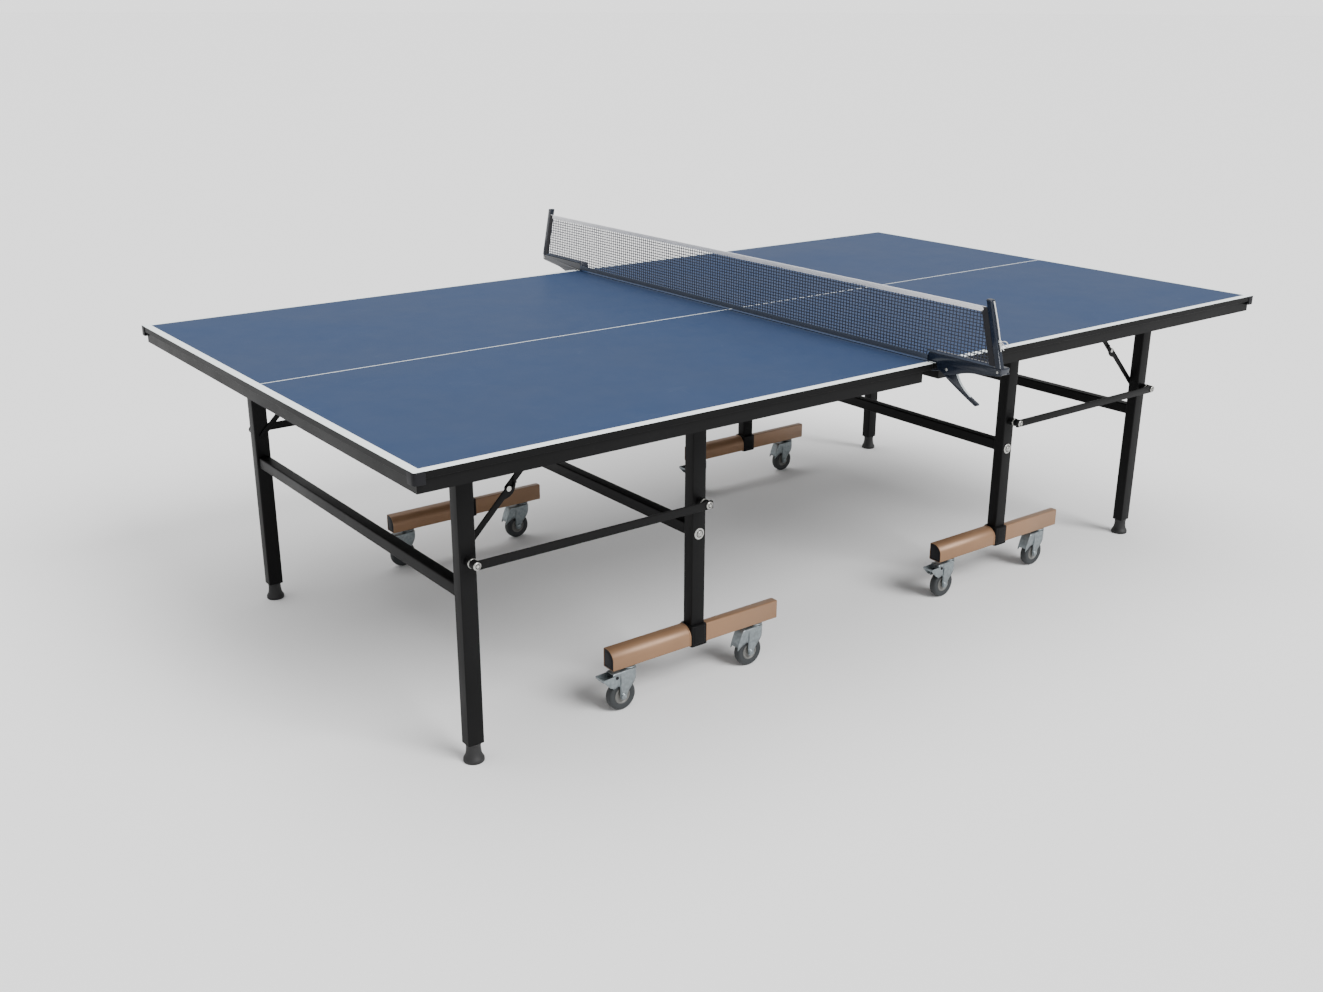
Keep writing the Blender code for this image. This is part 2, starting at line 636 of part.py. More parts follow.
def net_post(name, y_sign):
    """A leaning square post on a small foot plate."""
    base, top = Vector(POST_BASE), Vector(POST_TOP)
    outline = [(base[0] - POST_HALF, base[1]), (base[0] + POST_HALF, base[1]),
               (top[0] + POST_HALF - 0.001, top[1] - 0.002), (top[0] + POST_HALF - 0.003, top[1]),
               (top[0] - POST_HALF + 0.003, top[1]), (top[0] - POST_HALF + 0.001, top[1] - 0.002)]
    post = prism("X", across(outline, y_sign), POST_X - POST_HALF, POST_X + POST_HALF)
    bevel = post.modifiers.new("edge", "BEVEL")
    bevel.width = 0.002
    bevel.segments = 2
    bevel.angle_limit = math.radians(50)
    return finish(post, f"{name}_net_post", "navy_paint")


def post_inner(z, clear):
    """How far out the net may reach at a height: the post's inner face less a clearance."""
    lean = (POST_TOP[0] - POST_BASE[0]) / (POST_TOP[1] - POST_BASE[1])
    return POST_BASE[0] + lean * (z - POST_BASE[1]) - POST_HALF - clear


def net():
    """The net as a plain thin sheet: level on the boards, stepped up over the clamps."""
    low = CLAMP_TOP + 0.002
    right = [(CLAMP_JAW - 0.010, NET_LOW), (CLAMP_JAW - 0.004, low), (post_inner(low, 0.001), low),
             (post_inner(NET_TOP, 0.001), NET_TOP)]
    outline = right + [(-y, z) for y, z in reversed(right)]
    sheet = prism("X", outline, NET_X - NET_THICK / 2, NET_X + NET_THICK / 2)
    return finish(sheet, "net", "net_cloth")


def net_cord():
    """The tension cord from the post's head down its outer side to the knot."""
    curve = bpy.data.curves.new("net_cord", "CURVE")
    curve.dimensions = "3D"
    curve.bevel_depth = CORD_R
    curve.bevel_resolution = 2
    curve.use_fill_caps = True
    spline = curve.splines.new("POLY")
    top = Vector((POST_TOP[0] + POST_HALF + CORD_CLEAR, POST_TOP[1] - CORD_CLEAR))
    low = Vector((post_inner(CORD_KNOT_Z, 0) + 2 * POST_HALF + CORD_CLEAR, CORD_KNOT_Z))
    count = 16
    spline.points.add(count - 1)
    for i, point in enumerate(spline.points):
        t = i / (count - 1)
        place = top.lerp(low, t)
        bow = CORD_BOW * math.sin(math.pi * t)
        point.co = (POST_X, -(place[0] + bow), place[1], 1)
    cord = bpy.data.objects.new("net_cord", curve)
    bpy.context.scene.collection.objects.link(cord)
    curve.materials.append(material("white_cord"))
    return cord


# ---- assembly ----
def build_half(half, side):
    board(half, side)
    apron_frame(half, side)
    wheel_leg_crossbar(half, side)
    frame_axis = axis_empty(f"{half}_end_frame_axis", (side * END_LEG_AT, 0, FOLD_PIVOT_Z))
    link_axis = axis_empty(f"{half}_link_axis", (side * WHEEL_LEG_AT, 0, LINK_Z))
    moving = [end_leg_frame(half, side)]
    links = []
    for name, y_sign in (("near", -1), ("far", 1)):
        wheel_leg(half, side, name, y_sign)
        caster_bar(half, side, name, y_sign)
        moving.append(rubber_foot(half, side, name, y_sign))
        links.append(link_bar(half, side, name, y_sign))
        for part in ("lower", "upper"):
            brace_bar(half, side, name, y_sign, part)
    hang_on(frame_axis, moving)
    hang_on(link_axis, links)


def main():
    clear_scene()
    for half, side in (("left", -1), ("right", 1)):
        build_half(half, side)
    casters()
    for name, y_sign in (("near", -1), ("far", 1)):
        net_clamp(name, y_sign)
        clamp_lever(name, y_sign)
        net_post(name, y_sign)
    net()
    net_cord()


main()
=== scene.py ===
"""Looks for a roll-away table tennis table in two folding halves, with its net set.

Metres, +Z up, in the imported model's frame: the origin is on the floor under the middle of the
net, +X runs to the right half's end, and the near long side faces -Y.
"""

import json
import math

import bmesh
import bpy
import numpy as np
from bpy.props import FloatProperty, FloatVectorProperty, PointerProperty
from mathutils import Matrix, Vector


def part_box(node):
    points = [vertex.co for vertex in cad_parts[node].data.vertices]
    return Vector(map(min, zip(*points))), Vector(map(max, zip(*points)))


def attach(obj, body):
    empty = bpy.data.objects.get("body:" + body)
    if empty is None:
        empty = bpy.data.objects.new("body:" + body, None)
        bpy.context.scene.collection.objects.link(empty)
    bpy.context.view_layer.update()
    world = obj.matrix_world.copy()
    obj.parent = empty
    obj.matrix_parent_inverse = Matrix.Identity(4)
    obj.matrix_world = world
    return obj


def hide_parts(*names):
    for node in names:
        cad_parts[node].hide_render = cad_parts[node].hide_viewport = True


bl_info = {
    "name": "Table tennis table looks",
    "version": (1, 0, 0),
    "blender": (4, 5, 0),
    "location": "3D View > Sidebar > Table",
    "description": "Builds the finished surfaces of a folding table tennis table and its net set",
    "category": "Object",
}

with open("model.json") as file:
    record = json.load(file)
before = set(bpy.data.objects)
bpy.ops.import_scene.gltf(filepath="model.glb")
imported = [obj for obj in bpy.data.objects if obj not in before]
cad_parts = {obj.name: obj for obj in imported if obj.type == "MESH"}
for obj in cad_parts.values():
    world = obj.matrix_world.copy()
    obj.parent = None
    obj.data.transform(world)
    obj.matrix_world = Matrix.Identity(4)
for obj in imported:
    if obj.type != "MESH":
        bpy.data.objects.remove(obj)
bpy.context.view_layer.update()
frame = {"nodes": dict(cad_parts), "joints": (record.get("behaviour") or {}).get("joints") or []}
NODES = frame["nodes"]
JOINT_AT = {joint["name"]: np.array(joint["pos_m"]) for joint in frame["joints"] if "pos_m" in joint}

HALVES = (("left", -1), ("right", 1))
SIDES = (("near", -1), ("far", 1))
KINDS = ("braked", "plain")
CORNERS = tuple((*half, *side) for half in HALVES for side in SIDES)

BOARD_LOW, BOARD_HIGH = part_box("right_board")
TABLE_TOP = BOARD_HIGH.z
BOARD_UNDER = BOARD_LOW.z
HALF_LENGTH = BOARD_HIGH.x
HALF_WIDTH = BOARD_HIGH.y
LEG_SPREAD = abs(float(JOINT_AT["left_near_braked_swivel_turn"][1]))
WHEEL_LEG_X = float(JOINT_AT["right_fold"][0])
END_LEG_X = float(JOINT_AT["right_end_frame_hinge"][0])
LINK_Z = float(JOINT_AT["right_link_hinge"][2])
FOLD_Z = float(JOINT_AT["right_fold"][2])
BRACE_TOP_X = float(JOINT_AT["right_upper_brace_hinge"][0])

LEG_ACROSS_X, LEG_ACROSS_Y, LEG_CORNER = 0.0392, 0.0320, 0.0030
LEG_INNER, LEG_FACE = LEG_SPREAD - LEG_ACROSS_Y / 2, LEG_SPREAD + LEG_ACROSS_Y / 2
LEG_TOP = 0.732
CROSSBAR_SIDE, CROSSBAR_Z = 0.030, 0.400
CROSS_BOLT_Z = CROSSBAR_Z - 0.006
FOOT_TOP = 0.0447
COLLAR_X, COLLAR_Y = 0.047, 0.046
BAR_LOW, BAR_HIGH = 0.112, 0.160
BAR_WIDE, BAR_ARC, BAR_WALL = 0.040, 0.026, 0.0014
BAR_REACH = 0.250
LINK_LOW, LINK_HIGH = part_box("right_far_link_bar")
LINK_IN, LINK_OUT = LINK_LOW.y, LINK_HIGH.y
LINK_HALF = (LINK_HIGH.z - LINK_LOW.z) / 2
LINK_OVERRUN = WHEEL_LEG_X - LINK_LOW.x
BRACE_HALF = 0.007
WHEEL_R = float(JOINT_AT["left_near_braked_wheel_turn"][2])
TRAIL = 0.022
FORK_TOP = 0.1023
FORK_HALF = 0.0147
FORK_NOSE_X = 0.006
PEDAL_X, PEDAL_Z = -0.042, 0.0915
NET_X = 0.002
POST_X, POST_HALF = 0.0085, 0.0075
POST_BASE, POST_TOP = (0.948, 0.7843), (0.906, 0.935)
POST_LEAN = (POST_TOP[0] - POST_BASE[0]) / (POST_TOP[1] - POST_BASE[1])
NET_TOP = float(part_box("net")[1].z)
NET_LOW = float(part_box("net")[0].z)
CLAMP_LOW, CLAMP_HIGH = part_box("far_net_clamp")
LEVER_LOW, LEVER_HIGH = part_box("far_clamp_lever")
LEVER_PIVOT = JOINT_AT["far_clamp_squeeze"][1:]
ARM_TIP, ARM_HEM = 0.767, 0.0045
JAW_Y = CLAMP_LOW.y + 0.0015
LEVER_HALF = 0.0036
FLUSH_HEAD = 0.00022
CORD_R, CORD_KNOT_Z = 0.0014, 0.822
STRAND_DEEP = 0.0020
SHADE_SPAN = (0.3, 0.7)
CAMERA_AT = (-2.4293, -2.893, 1.5496)
CAMERA_TURN, CAMERA_DOWN, CAMERA_ROLL = 0.6500, 0.3415, 0.0032
FLOOR_REACH = 400.0


# ---- settings that a user would change ----
def length_setting(name, description, default):
    return FloatProperty(name=name, description=description, default=default, min=0.0,
                         subtype="DISTANCE", unit="LENGTH", precision=4)


def colour_setting(name, description, default):
    return FloatVectorProperty(name=name, description=description, default=default, size=3,
                               min=0.0, max=1.0, subtype="COLOR")


class TableSizes(bpy.types.PropertyGroup):
    """Sizes of the pieces that the finished surfaces add."""

    edge_line: length_setting("Edge line", "Width of the white line along sides and ends", 0.020)
    centre_line: length_setting("Centre line", "Width of the white line down the middle", 0.003)
    cap_tall: length_setting("Cap height", "Height of the plastic corner caps", 0.0255)
    cap_long: length_setting("Cap length", "Length of a corner cap along each edge", 0.024)
    cap_proud: length_setting("Cap stand-off", "How far a cap stands out of the board", 0.0015)
    cell_wide: length_setting("Cell width", "Distance between upright net strands", 0.0102)
    cell_tall: length_setting("Cell height", "Distance between level net strands", 0.0079)
    strand_wide: length_setting("Strand width", "Width of one net strand", 0.0027)
    top_tape: length_setting("Top tape", "Height of the white tape on the net", 0.0122)
    bottom_tape: length_setting("Bottom tape", "Height of the net's bottom tape", 0.0130)
    sleeve: length_setting("Sleeve", "Width of the cloth sleeve beside each post", 0.0180)
    bolt_head: length_setting("Bolt head", "Radius of a link bolt's domed head", 0.0092)
    washer: length_setting("Washer", "Radius of the washer on a wheel leg", 0.0140)


class TableColours(bpy.types.PropertyGroup):
    """Colours of the finishes."""

    playing_blue: colour_setting("Playing blue", "Painted playing surface", (0.0195, 0.0425, 0.1030))
    line_white: colour_setting("Line white", "Painted lines", (0.880, 0.930, 0.940))
    black_coat: colour_setting("Black coat", "Powder coat on frames and legs", (0.0046, 0.0046, 0.0048))
    # Also the colour of the painted shade rings in the bolt heads.
    cap_black: colour_setting("Cap black", "Moulded caps and plugs", (0.0062, 0.0062, 0.0080))
    copper_coat: colour_setting("Copper coat", "Powder coat on caster bars", (0.250, 0.140, 0.074))
    zinc: colour_setting("Zinc", "Plated forks and pedals", (0.230, 0.262, 0.276))
    bolt_steel: colour_setting("Bolt steel", "Bolts and washers", (0.400, 0.400, 0.380))
    tyre_grey: colour_setting("Tyre grey", "Caster tyres", (0.019, 0.022, 0.024))
    hub_grey: colour_setting("Hub grey", "Caster hubs", (0.125, 0.125, 0.118))
    foot_black: colour_setting("Foot black", "Rubber feet", (0.009, 0.009, 0.0095))
    clamp_navy: colour_setting("Clamp navy", "Painted net set", (0.008, 0.012, 0.022))
    strand_navy: colour_setting("Strand navy", "Net strands", (0.011, 0.017, 0.040))
    tape_white: colour_setting("Tape white", "Net's top tape", (0.820, 0.820, 0.840))
    sleeve_black: colour_setting("Sleeve black", "Net's end sleeves", (0.007, 0.007, 0.010))
    hem_navy: colour_setting("Hem navy", "Net's bottom tape", (0.034, 0.048, 0.078))
    # Painted highlight: a near-white strip along each clamp lever's outer edge that stands in for the gloss
    # reflection of the light.
    edge_white: colour_setting("Edge white", "Bright outer edge of the clamp levers", (0.700, 0.760, 0.780))
    cord_white: colour_setting("Cord white", "Net's tension cord", (0.800, 0.810, 0.790))
    dust: colour_setting("Dust", "Light dust that settles on top faces", (0.420, 0.410, 0.390))


class StageSettings(bpy.types.PropertyGroup):
    """The camera's lens and how bright the studio is."""

    lens: FloatProperty(name="Lens", description="Focal length on a 36 mm sensor", default=37.38,
                        min=1.0, unit="CAMERA")
    sky: FloatProperty(name="Sky", description="Brightness of the white surroundings", default=0.72,
                       min=0.0)
    backdrop: FloatProperty(name="Backdrop", description="Brightness behind the floor's edge",
                            default=1.85, min=0.0)
    key: FloatProperty(name="Key light", description="Strength of the big soft light", default=3.6,
                       min=0.0)
    fill: FloatProperty(name="Fill light", description="Strength of the soft light from overhead",
                        default=1.9, min=0.0)
    floor: colour_setting("Floor", "Colour of the plain floor", (0.900, 0.900, 0.900))


def sizes():
    return bpy.context.scene.table_sizes


def colour(name):
    return tuple(getattr(bpy.context.scene.table_colours, name))


# ---- surfaces: each shell is (points, faces) ----
def on_axis(axis, a, b, along):
    """Points from two outline coordinates and their place along the axis, as one array."""
    a, b, along = np.broadcast_arrays(a, b, along)
    order = {"X": (along, a, b), "Y": (a, along, b), "Z": (a, b, along)}[axis]
    return np.stack(order, axis=-1)


def lofted(rings, loop=False):
    """Rings of the same count joined by quads; open stacks get flat ends, a loop joins up."""
    count, sides = rings.shape[:2]
    index = np.arange(count * sides).reshape(count, sides)
    ahead = np.roll(index, -1, axis=1)
    low, high = (slice(None), np.roll(np.arange(count), -1)) if loop else (slice(0, -1), slice(1, None))
    quads = np.stack([index[low], ahead[low], ahead[high], index[high]], axis=-1).reshape(-1, 4)
    faces = quads.tolist()
    if not loop:
        faces += [index[0, ::-1].tolist(), index[-1].tolist()]
    return rings.reshape(-1, 3), faces


def sheeted(grid):
    """An open grid of points joined by quads."""
    rows, columns = grid.shape[:2]
    index = np.arange(rows * columns).reshape(rows, columns)
    quads = np.stack([index[:-1, :-1], index[1:, :-1], index[1:, 1:], index[:-1, 1:]], axis=-1)
    return grid.reshape(-1, 3), quads.reshape(-1, 4).tolist()


def softened(corners, radius, steps=5):
    """An outline whose corners are quadratic curves that start a radius back on each edge."""
    points = np.array(corners, float)
    reach = np.broadcast_to(radius, len(points))[:, None]
    back, ahead = np.roll(points, 1, axis=0) - points, np.roll(points, -1, axis=0) - points
    back_long, ahead_long = (np.linalg.norm(edge, axis=1, keepdims=True) for edge in (back, ahead))
    start = points + back * np.minimum(reach / back_long, 0.48)
    end = points + ahead * np.minimum(reach / ahead_long, 0.48)
    t = np.linspace(0, 1, steps + 1)[None, :, None]
    curve = (1 - t) ** 2 * start[:, None] + 2 * t * (1 - t) * points[:, None] + t ** 2 * end[:, None]
    return curve.reshape(-1, 2)


def rounded_rect(centre, wide, tall, corner, steps=6):
    """A rectangle whose corners are quarter circles."""
    a, b = wide / 2 - corner, tall / 2 - corner
    turn = np.linspace(0, math.pi / 2, steps + 1)
    signs = np.array([(1, 1), (-1, 1), (-1, -1), (1, -1)])
    turns = turn[None, :] + (np.arange(4) * math.pi / 2)[:, None]
    x = centre[0] + signs[:, :1] * a + corner * np.cos(turns)
    y = centre[1] + signs[:, 1:] * b + corner * np.sin(turns)
    return np.stack([x, y], axis=-1).reshape(-1, 2)


def arc(centre, radius, start, end, steps=10):
    """Points on a circle between two angles in degrees."""
    turn = np.radians(np.linspace(start, end, steps + 1))
    return np.stack([centre[0] + radius * np.cos(turn), centre[1] + radius * np.sin(turn)], axis=-1)


def slab(outline, low, high, axis, edge=0.001, steps=3):
    """An outline carried along an axis. Near each end it moves in by edge(1 - sin a) at a depth of
    edge(1 - cos a), which rounds the rims."""
    outline = np.asarray(outline, float)
    x, y = outline.T
    if np.sum(x * np.roll(y, -1) - y * np.roll(x, -1)) < 0:
        outline = outline[::-1]
    ahead = np.roll(outline, -1, axis=0) - outline
    ahead /= np.maximum(np.linalg.norm(ahead, axis=1, keepdims=True), 1e-12)
    inward = np.stack([-ahead[:, 1], ahead[:, 0]], axis=-1)
    mitre = inward + np.roll(inward, 1, axis=0)
    mitre /= np.maximum((mitre ** 2).sum(axis=1, keepdims=True) / 2, 0.3)
    turn = np.linspace(0, math.pi / 2, steps + 1)
    inset, rise = edge * (1 - np.sin(turn)), edge * (1 - np.cos(turn))
    insets = np.concatenate([inset, inset[::-1]])
    places = np.concatenate([low + rise, (high - rise)[::-1]])
    rings = outline[None] + insets[:, None, None] * mitre[None]
    return lofted(on_axis(axis, rings[..., 0], rings[..., 1], places[:, None]))


def turned(profile, centre, axis, steps=32, loop=False):
    """Circles whose radii and places along the axis come from the profile."""
    profile = np.array(profile, float)
    turn = np.arange(steps) * math.tau / steps
    a = centre[0] + profile[:, :1] * np.cos(turn)
    b = centre[1] + profile[:, :1] * np.sin(turn)
    return lofted(on_axis(axis, a, b, profile[:, 1:]), loop)


def turned_out(profile, y_sign, centre, steps):
    """A shell turned about Y, with its places along Y mirrored to one long side."""
    return turned([(r, y_sign * at) for r, at in profile], centre, "Y", steps)


def carried(path, section, across):
    """A section carried along a path in one plane: across is the plane's normal, and the
    section's second coordinate runs square to the path and to it."""
    path = np.asarray(path, float)
    along = np.gradient(path, axis=0)
    along /= np.linalg.norm(along, axis=1, keepdims=True)
    across = np.broadcast_to(np.asarray(across, float), path.shape)
    square = np.cross(along, across)
    square /= np.linalg.norm(square, axis=1, keepdims=True)
    section = np.asarray(section, float)
    section = np.broadcast_to(section, (len(path), *section.shape[-2:]))
    sideways, upwards = section[..., :1] * across[:, None], section[..., 1:] * square[:, None]
    return lofted(path[:, None] + sideways + upwards)


def circle(radius, steps):
    turn = np.arange(steps) * math.tau / steps
    return radius * np.stack([np.cos(turn), np.sin(turn)], axis=-1)


def moved(shell, offset):
    return shell[0] + np.asarray(offset, float), shell[1]


def dome(radius, height, steps):
    """Profile points of a shallow dome from its rim to near its top."""
    turn = np.linspace(0, 1.45, steps)
    return [(radius * math.cos(t), height * math.sin(t)) for t in turn]


def linked(name, data):
    made = bpy.data.objects.new(name, data)
    bpy.context.scene.collection.objects.link(made)
    return made


def piece(name, shells, finish, body, replaces=(), crease=38.0, solid=0.0):
    """One mesh object at the origin from its shells, with its finish and the body it rides on."""
    points, faces, base = [], [], 0
    for shell_points, shell_faces in shells:
        points.append(shell_points)
        faces += [[i + base for i in face] for face in shell_faces]
        base += len(shell_points)
    mesh = bpy.data.meshes.new(name)
    mesh.from_pydata(np.concatenate(points).tolist(), [], faces)
    bm = bmesh.new()
    bm.from_mesh(mesh)
    bmesh.ops.remove_doubles(bm, verts=bm.verts, dist=2e-6)
    bmesh.ops.recalc_face_normals(bm, faces=bm.faces)
    bm.to_mesh(mesh)
    bm.free()
    mesh.shade_smooth()
    mesh.set_sharp_from_angle(angle=math.radians(crease))
    mesh.materials.append(finish)
    made = linked(name, mesh)
    if solid:
        wall = made.modifiers.new("wall", "SOLIDIFY")
        wall.thickness = solid
        wall.offset = -1.0
    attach(made, body)
    if replaces:
        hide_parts(*replaces)
    return made


# ---- nodes and shared node groups ----
def join(tree, value, socket):
    """Links another node's socket to an input, or sets the input's value."""
    if isinstance(value, bpy.types.NodeSocket):
        tree.links.new(value, socket)
    else:
        socket.default_value = value


def feed(tree, node, **values):
    """Sets a node's settings and its named inputs, each from a value or a socket."""
    for key, value in values.items():
        if hasattr(node, key):
            setattr(node, key, value)
        else:
            join(tree, value, node.inputs[key.replace("_", " ")])
    return node


def add(tree, kind, **values):
    return feed(tree, tree.nodes.new(kind), **values)


def noise(tree, where, **values):
    return add(tree, "ShaderNodeTexNoise", Vector=where, **values).outputs["Fac"]


def split(tree, vector):
    return add(tree, "ShaderNodeSeparateXYZ", Vector=vector).outputs


def ranged(tree, value, low, high, to_low=0.0, to_high=1.0):
    """A value carried from one range to another, clamped."""
    return add(tree, "ShaderNodeMapRange", clamp=True, Value=value, From_Min=low, From_Max=high,
               To_Min=to_low, To_Max=to_high).outputs["Result"]


def calculated(tree, operation, *values):
    node = add(tree, "ShaderNodeMath", operation=operation)
    for socket, value in zip(node.inputs, values):
        join(tree, value, socket)
    return node.outputs["Value"]


def mixed(tree, factor, first, second):
    """A colour mix by a mask; first and second are sockets or colours."""
    node = add(tree, "ShaderNodeMix", data_type="RGBA", Factor=factor)
    colour_inputs = [socket for socket in node.inputs if socket.type == "RGBA"]
    for socket, value in zip(colour_inputs, (first, second)):
        join(tree, value if isinstance(value, bpy.types.NodeSocket) else (*value, 1.0), socket)
    return next(socket for socket in node.outputs if socket.type == "RGBA")


def bumped(tree, height, strength, distance):
    return add(tree, "ShaderNodeBump", Strength=strength, Distance=distance,
               Height=height).outputs["Normal"]


def effect(name, outputs, **inputs):
    """A new node group of a vector and numbers: the group, its input sockets and its output node."""
    group = bpy.data.node_groups.new(name, "ShaderNodeTree")
    group.interface.new_socket(name="Vector", in_out="INPUT", socket_type="NodeSocketVector")
    for label, default in inputs.items():
        socket = group.interface.new_socket(name=label, in_out="INPUT", socket_type="NodeSocketFloat")
        socket.default_value = default
    for label in outputs:
        group.interface.new_socket(name=label, in_out="OUTPUT", socket_type="NodeSocketFloat")
    return group, group.nodes.new("NodeGroupInput").outputs, group.nodes.new("NodeGroupOutput")


def grain_effect(name):
    """Fine coating grain: layered noise, as a height and as a slow change of shade."""
    group, given, out = effect(name, ("Height", "Shade"), Fine=900.0, Broad=6.0)
    where = given["Vector"]
    feed(group, out, Height=noise(group, where, Scale=given["Fine"], Detail=3.0, Roughness=0.6),
         Shade=noise(group, where, Scale=given["Broad"], Detail=4.0, Roughness=0.55))
    return group


def scuff_effect(name):
    """Thin scattered scratches: edges of stretched cells, kept only where a noise is high."""
    group, given, out = effect(name, ("Mask",), Scale=30.0, Reach=0.62)
    stretch = add(group, "ShaderNodeMapping", Vector=given["Vector"], Rotation=(0.5, 0.3, 0.7),
                  Scale=(1.0, 6.0, 2.0))
    cells = add(group, "ShaderNodeTexVoronoi", feature="DISTANCE_TO_EDGE",
                Vector=stretch.outputs["Vector"], Scale=given["Scale"])
    thin = ranged(group, cells.outputs["Distance"], 0.0, 0.02, 1.0, 0.0)
    patch = noise(group, given["Vector"], Scale=9.0, Detail=2.0)
    kept = calculated(group, "GREATER_THAN", patch, given["Reach"])
    feed(group, out, Mask=calculated(group, "MULTIPLY", thin, kept))
    return group


def dust_effect(name):
    """Dust on faces that look up: the normal's height above a limit, times a noise."""
    group, given, out = effect(name, ("Mask",), Amount=0.2)
    facing = split(group, add(group, "ShaderNodeNewGeometry").outputs["Normal"])["Z"]
    patch = noise(group, given["Vector"], Scale=14.0, Detail=5.0, Roughness=0.65)
    both = calculated(group, "MULTIPLY", ranged(group, facing, 0.55, 1.0), patch)
    feed(group, out, Mask=calculated(group, "MULTIPLY", both, given["Amount"]))
    return group


def weave_effect(name):
    """Plain weave: two crossed sine bands, one along Y and one along Z, whose larger one shows."""
    group, given, out = effect(name, ("Height", "Shade"), Threads=900.0)
    parts = split(group, given["Vector"])
    bands = []
    for axis in ("Y", "Z"):
        turn = calculated(group, "MULTIPLY", parts[axis], given["Threads"])
        bands.append(calculated(group, "ABSOLUTE", calculated(group, "SINE", turn)))
    feed(group, out, Height=calculated(group, "MAXIMUM", *bands),
         Shade=noise(group, given["Vector"], Scale=40.0, Detail=3.0))
    return group


EFFECTS = {"coating_grain": grain_effect, "light_scuffs": scuff_effect,
           "settled_dust": dust_effect, "plain_weave": weave_effect}


def place_effect(tree, name, where, **values):
    """The outputs of a shared effect, which is built the first time that it is asked for."""
    group = bpy.data.node_groups.get(name) or EFFECTS[name](name)
    node = add(tree, "ShaderNodeGroup", node_tree=group)
    return feed(tree, node, Vector=where, **values).outputs


# ---- finishes ----
def scaled(tone, by, plus=0.0):
    return [min(channel * by + plus, 1.0) for channel in tone]


def blank_finish(name, metallic=0.0):
    """A new material: its tree, its shader and its object coordinates."""
    made = bpy.data.materials.new(name)
    made.use_nodes = True
    tree = made.node_tree
    shader = feed(tree, tree.nodes["Principled BSDF"], Metallic=metallic)
    return made, tree, shader, tree.nodes.new("ShaderNodeTexCoord").outputs["Object"]


def weathered(tree, where, tones, rubbed, grain, scuff, dust, **scratches):
    """Grain over a slow change between two tones, with scuffs and settled dust. Gives the grain's
    outputs and the colour."""
    fine, broad = grain
    grain = place_effect(tree, "coating_grain", where, Fine=fine, Broad=broad)
    scuffs = place_effect(tree, "light_scuffs", where, **scratches)
    dusty = place_effect(tree, "settled_dust", where, Amount=dust)
    base = mixed(tree, ranged(tree, grain["Shade"], *SHADE_SPAN), *tones)
    worn = mixed(tree, calculated(tree, "MULTIPLY", scuffs["Mask"], scuff), base, rubbed)
    return grain, mixed(tree, dusty["Mask"], worn, colour("dust"))


def coated_finish(name, tone, rough, lift, metallic=0.0, fine=900.0, broad=5.0, bump=0.25, scuff=0.10,
                  dust=0.12, gloss=0.5):
    """A coating with slow shade changes, fine grain, a few scuffs and settled dust."""
    made, tree, shader, where = blank_finish(name, metallic)
    tones = scaled(tone, 1 - lift), scaled(tone, 1 + lift)
    grain, settled = weathered(tree, where, tones, scaled(tone, 1.6, 0.02), (fine, broad), scuff, dust,
                               Scale=26.0)
    roughness = ranged(tree, grain["Shade"], *SHADE_SPAN, rough - 0.05, rough + 0.07)
    feed(tree, shader, Base_Color=settled, Roughness=roughness, Specular_IOR_Level=gloss,
         Normal=bumped(tree, grain["Height"], bump, 0.00012))
    return made


def playing_finish(name):
    """Blue paint with white lines on the top face, and the board's dark edges under it."""
    made, tree, shader, where = blank_finish(name)
    parts = split(tree, where)
    across, along = (calculated(tree, "ABSOLUTE", parts[axis]) for axis in ("Y", "X"))
    side = calculated(tree, "GREATER_THAN", across, HALF_WIDTH - sizes().edge_line)
    end = calculated(tree, "GREATER_THAN", along, HALF_LENGTH - sizes().edge_line)
    middle = calculated(tree, "LESS_THAN", across, sizes().centre_line / 2)
    lines = calculated(tree, "MAXIMUM", calculated(tree, "MAXIMUM", side, end), middle)
    blue = colour("playing_blue")
    grain, settled = weathered(tree, where, (scaled(blue, 0.94), scaled(blue, 1.06)), (0.2, 0.24, 0.3),
                               (1500.0, 2.2), 0.05, 0.035, Scale=7.0, Reach=0.60)
    lined = mixed(tree, lines, settled, colour("line_white"))
    top = calculated(tree, "GREATER_THAN", parts["Z"], TABLE_TOP - 0.0006)
    feed(tree, shader, Base_Color=mixed(tree, top, colour("black_coat"), lined), Specular_IOR_Level=0.08,
         Roughness=ranged(tree, grain["Shade"], *SHADE_SPAN, 0.40, 0.50),
         Normal=bumped(tree, grain["Height"], 0.2, 0.00008))
    return made


def zinc_finish(name):
    """Zinc plate: small flower-like patches of tone, fine grain, and a near-black band in the gap between
    the swivel head's two races.
    """
    made, tree, shader, where = blank_finish(name, 0.75)
    cells = add(tree, "ShaderNodeTexVoronoi", Scale=150.0, feature="SMOOTH_F1", Vector=where)
    grain = place_effect(tree, "coating_grain", where, Fine=1800.0, Broad=45.0)
    tone = colour("zinc")
    patch = mixed(tree, ranged(tree, cells.outputs["Distance"], 0.2, 0.8),
                  scaled(tone, 1.15), scaled(tone, 0.80))
    cloudy = mixed(tree, ranged(tree, grain["Shade"], 0.4, 0.75, 0.0, 0.5), patch, (0.22, 0.24, 0.25))
    # A near-black band round the gap between the two races of the swivel head.
    offset = calculated(tree, "SUBTRACT", split(tree, where)["Z"], FORK_TOP + 0.0030)
    gap = calculated(tree, "LESS_THAN", calculated(tree, "ABSOLUTE", offset), 0.0009)
    feed(tree, shader, Base_Color=mixed(tree, gap, cloudy, (0.012, 0.012, 0.013)),
         Roughness=ranged(tree, grain["Shade"], *SHADE_SPAN, 0.28, 0.46),
         Normal=bumped(tree, grain["Height"], 0.25, 0.0001))
    return made


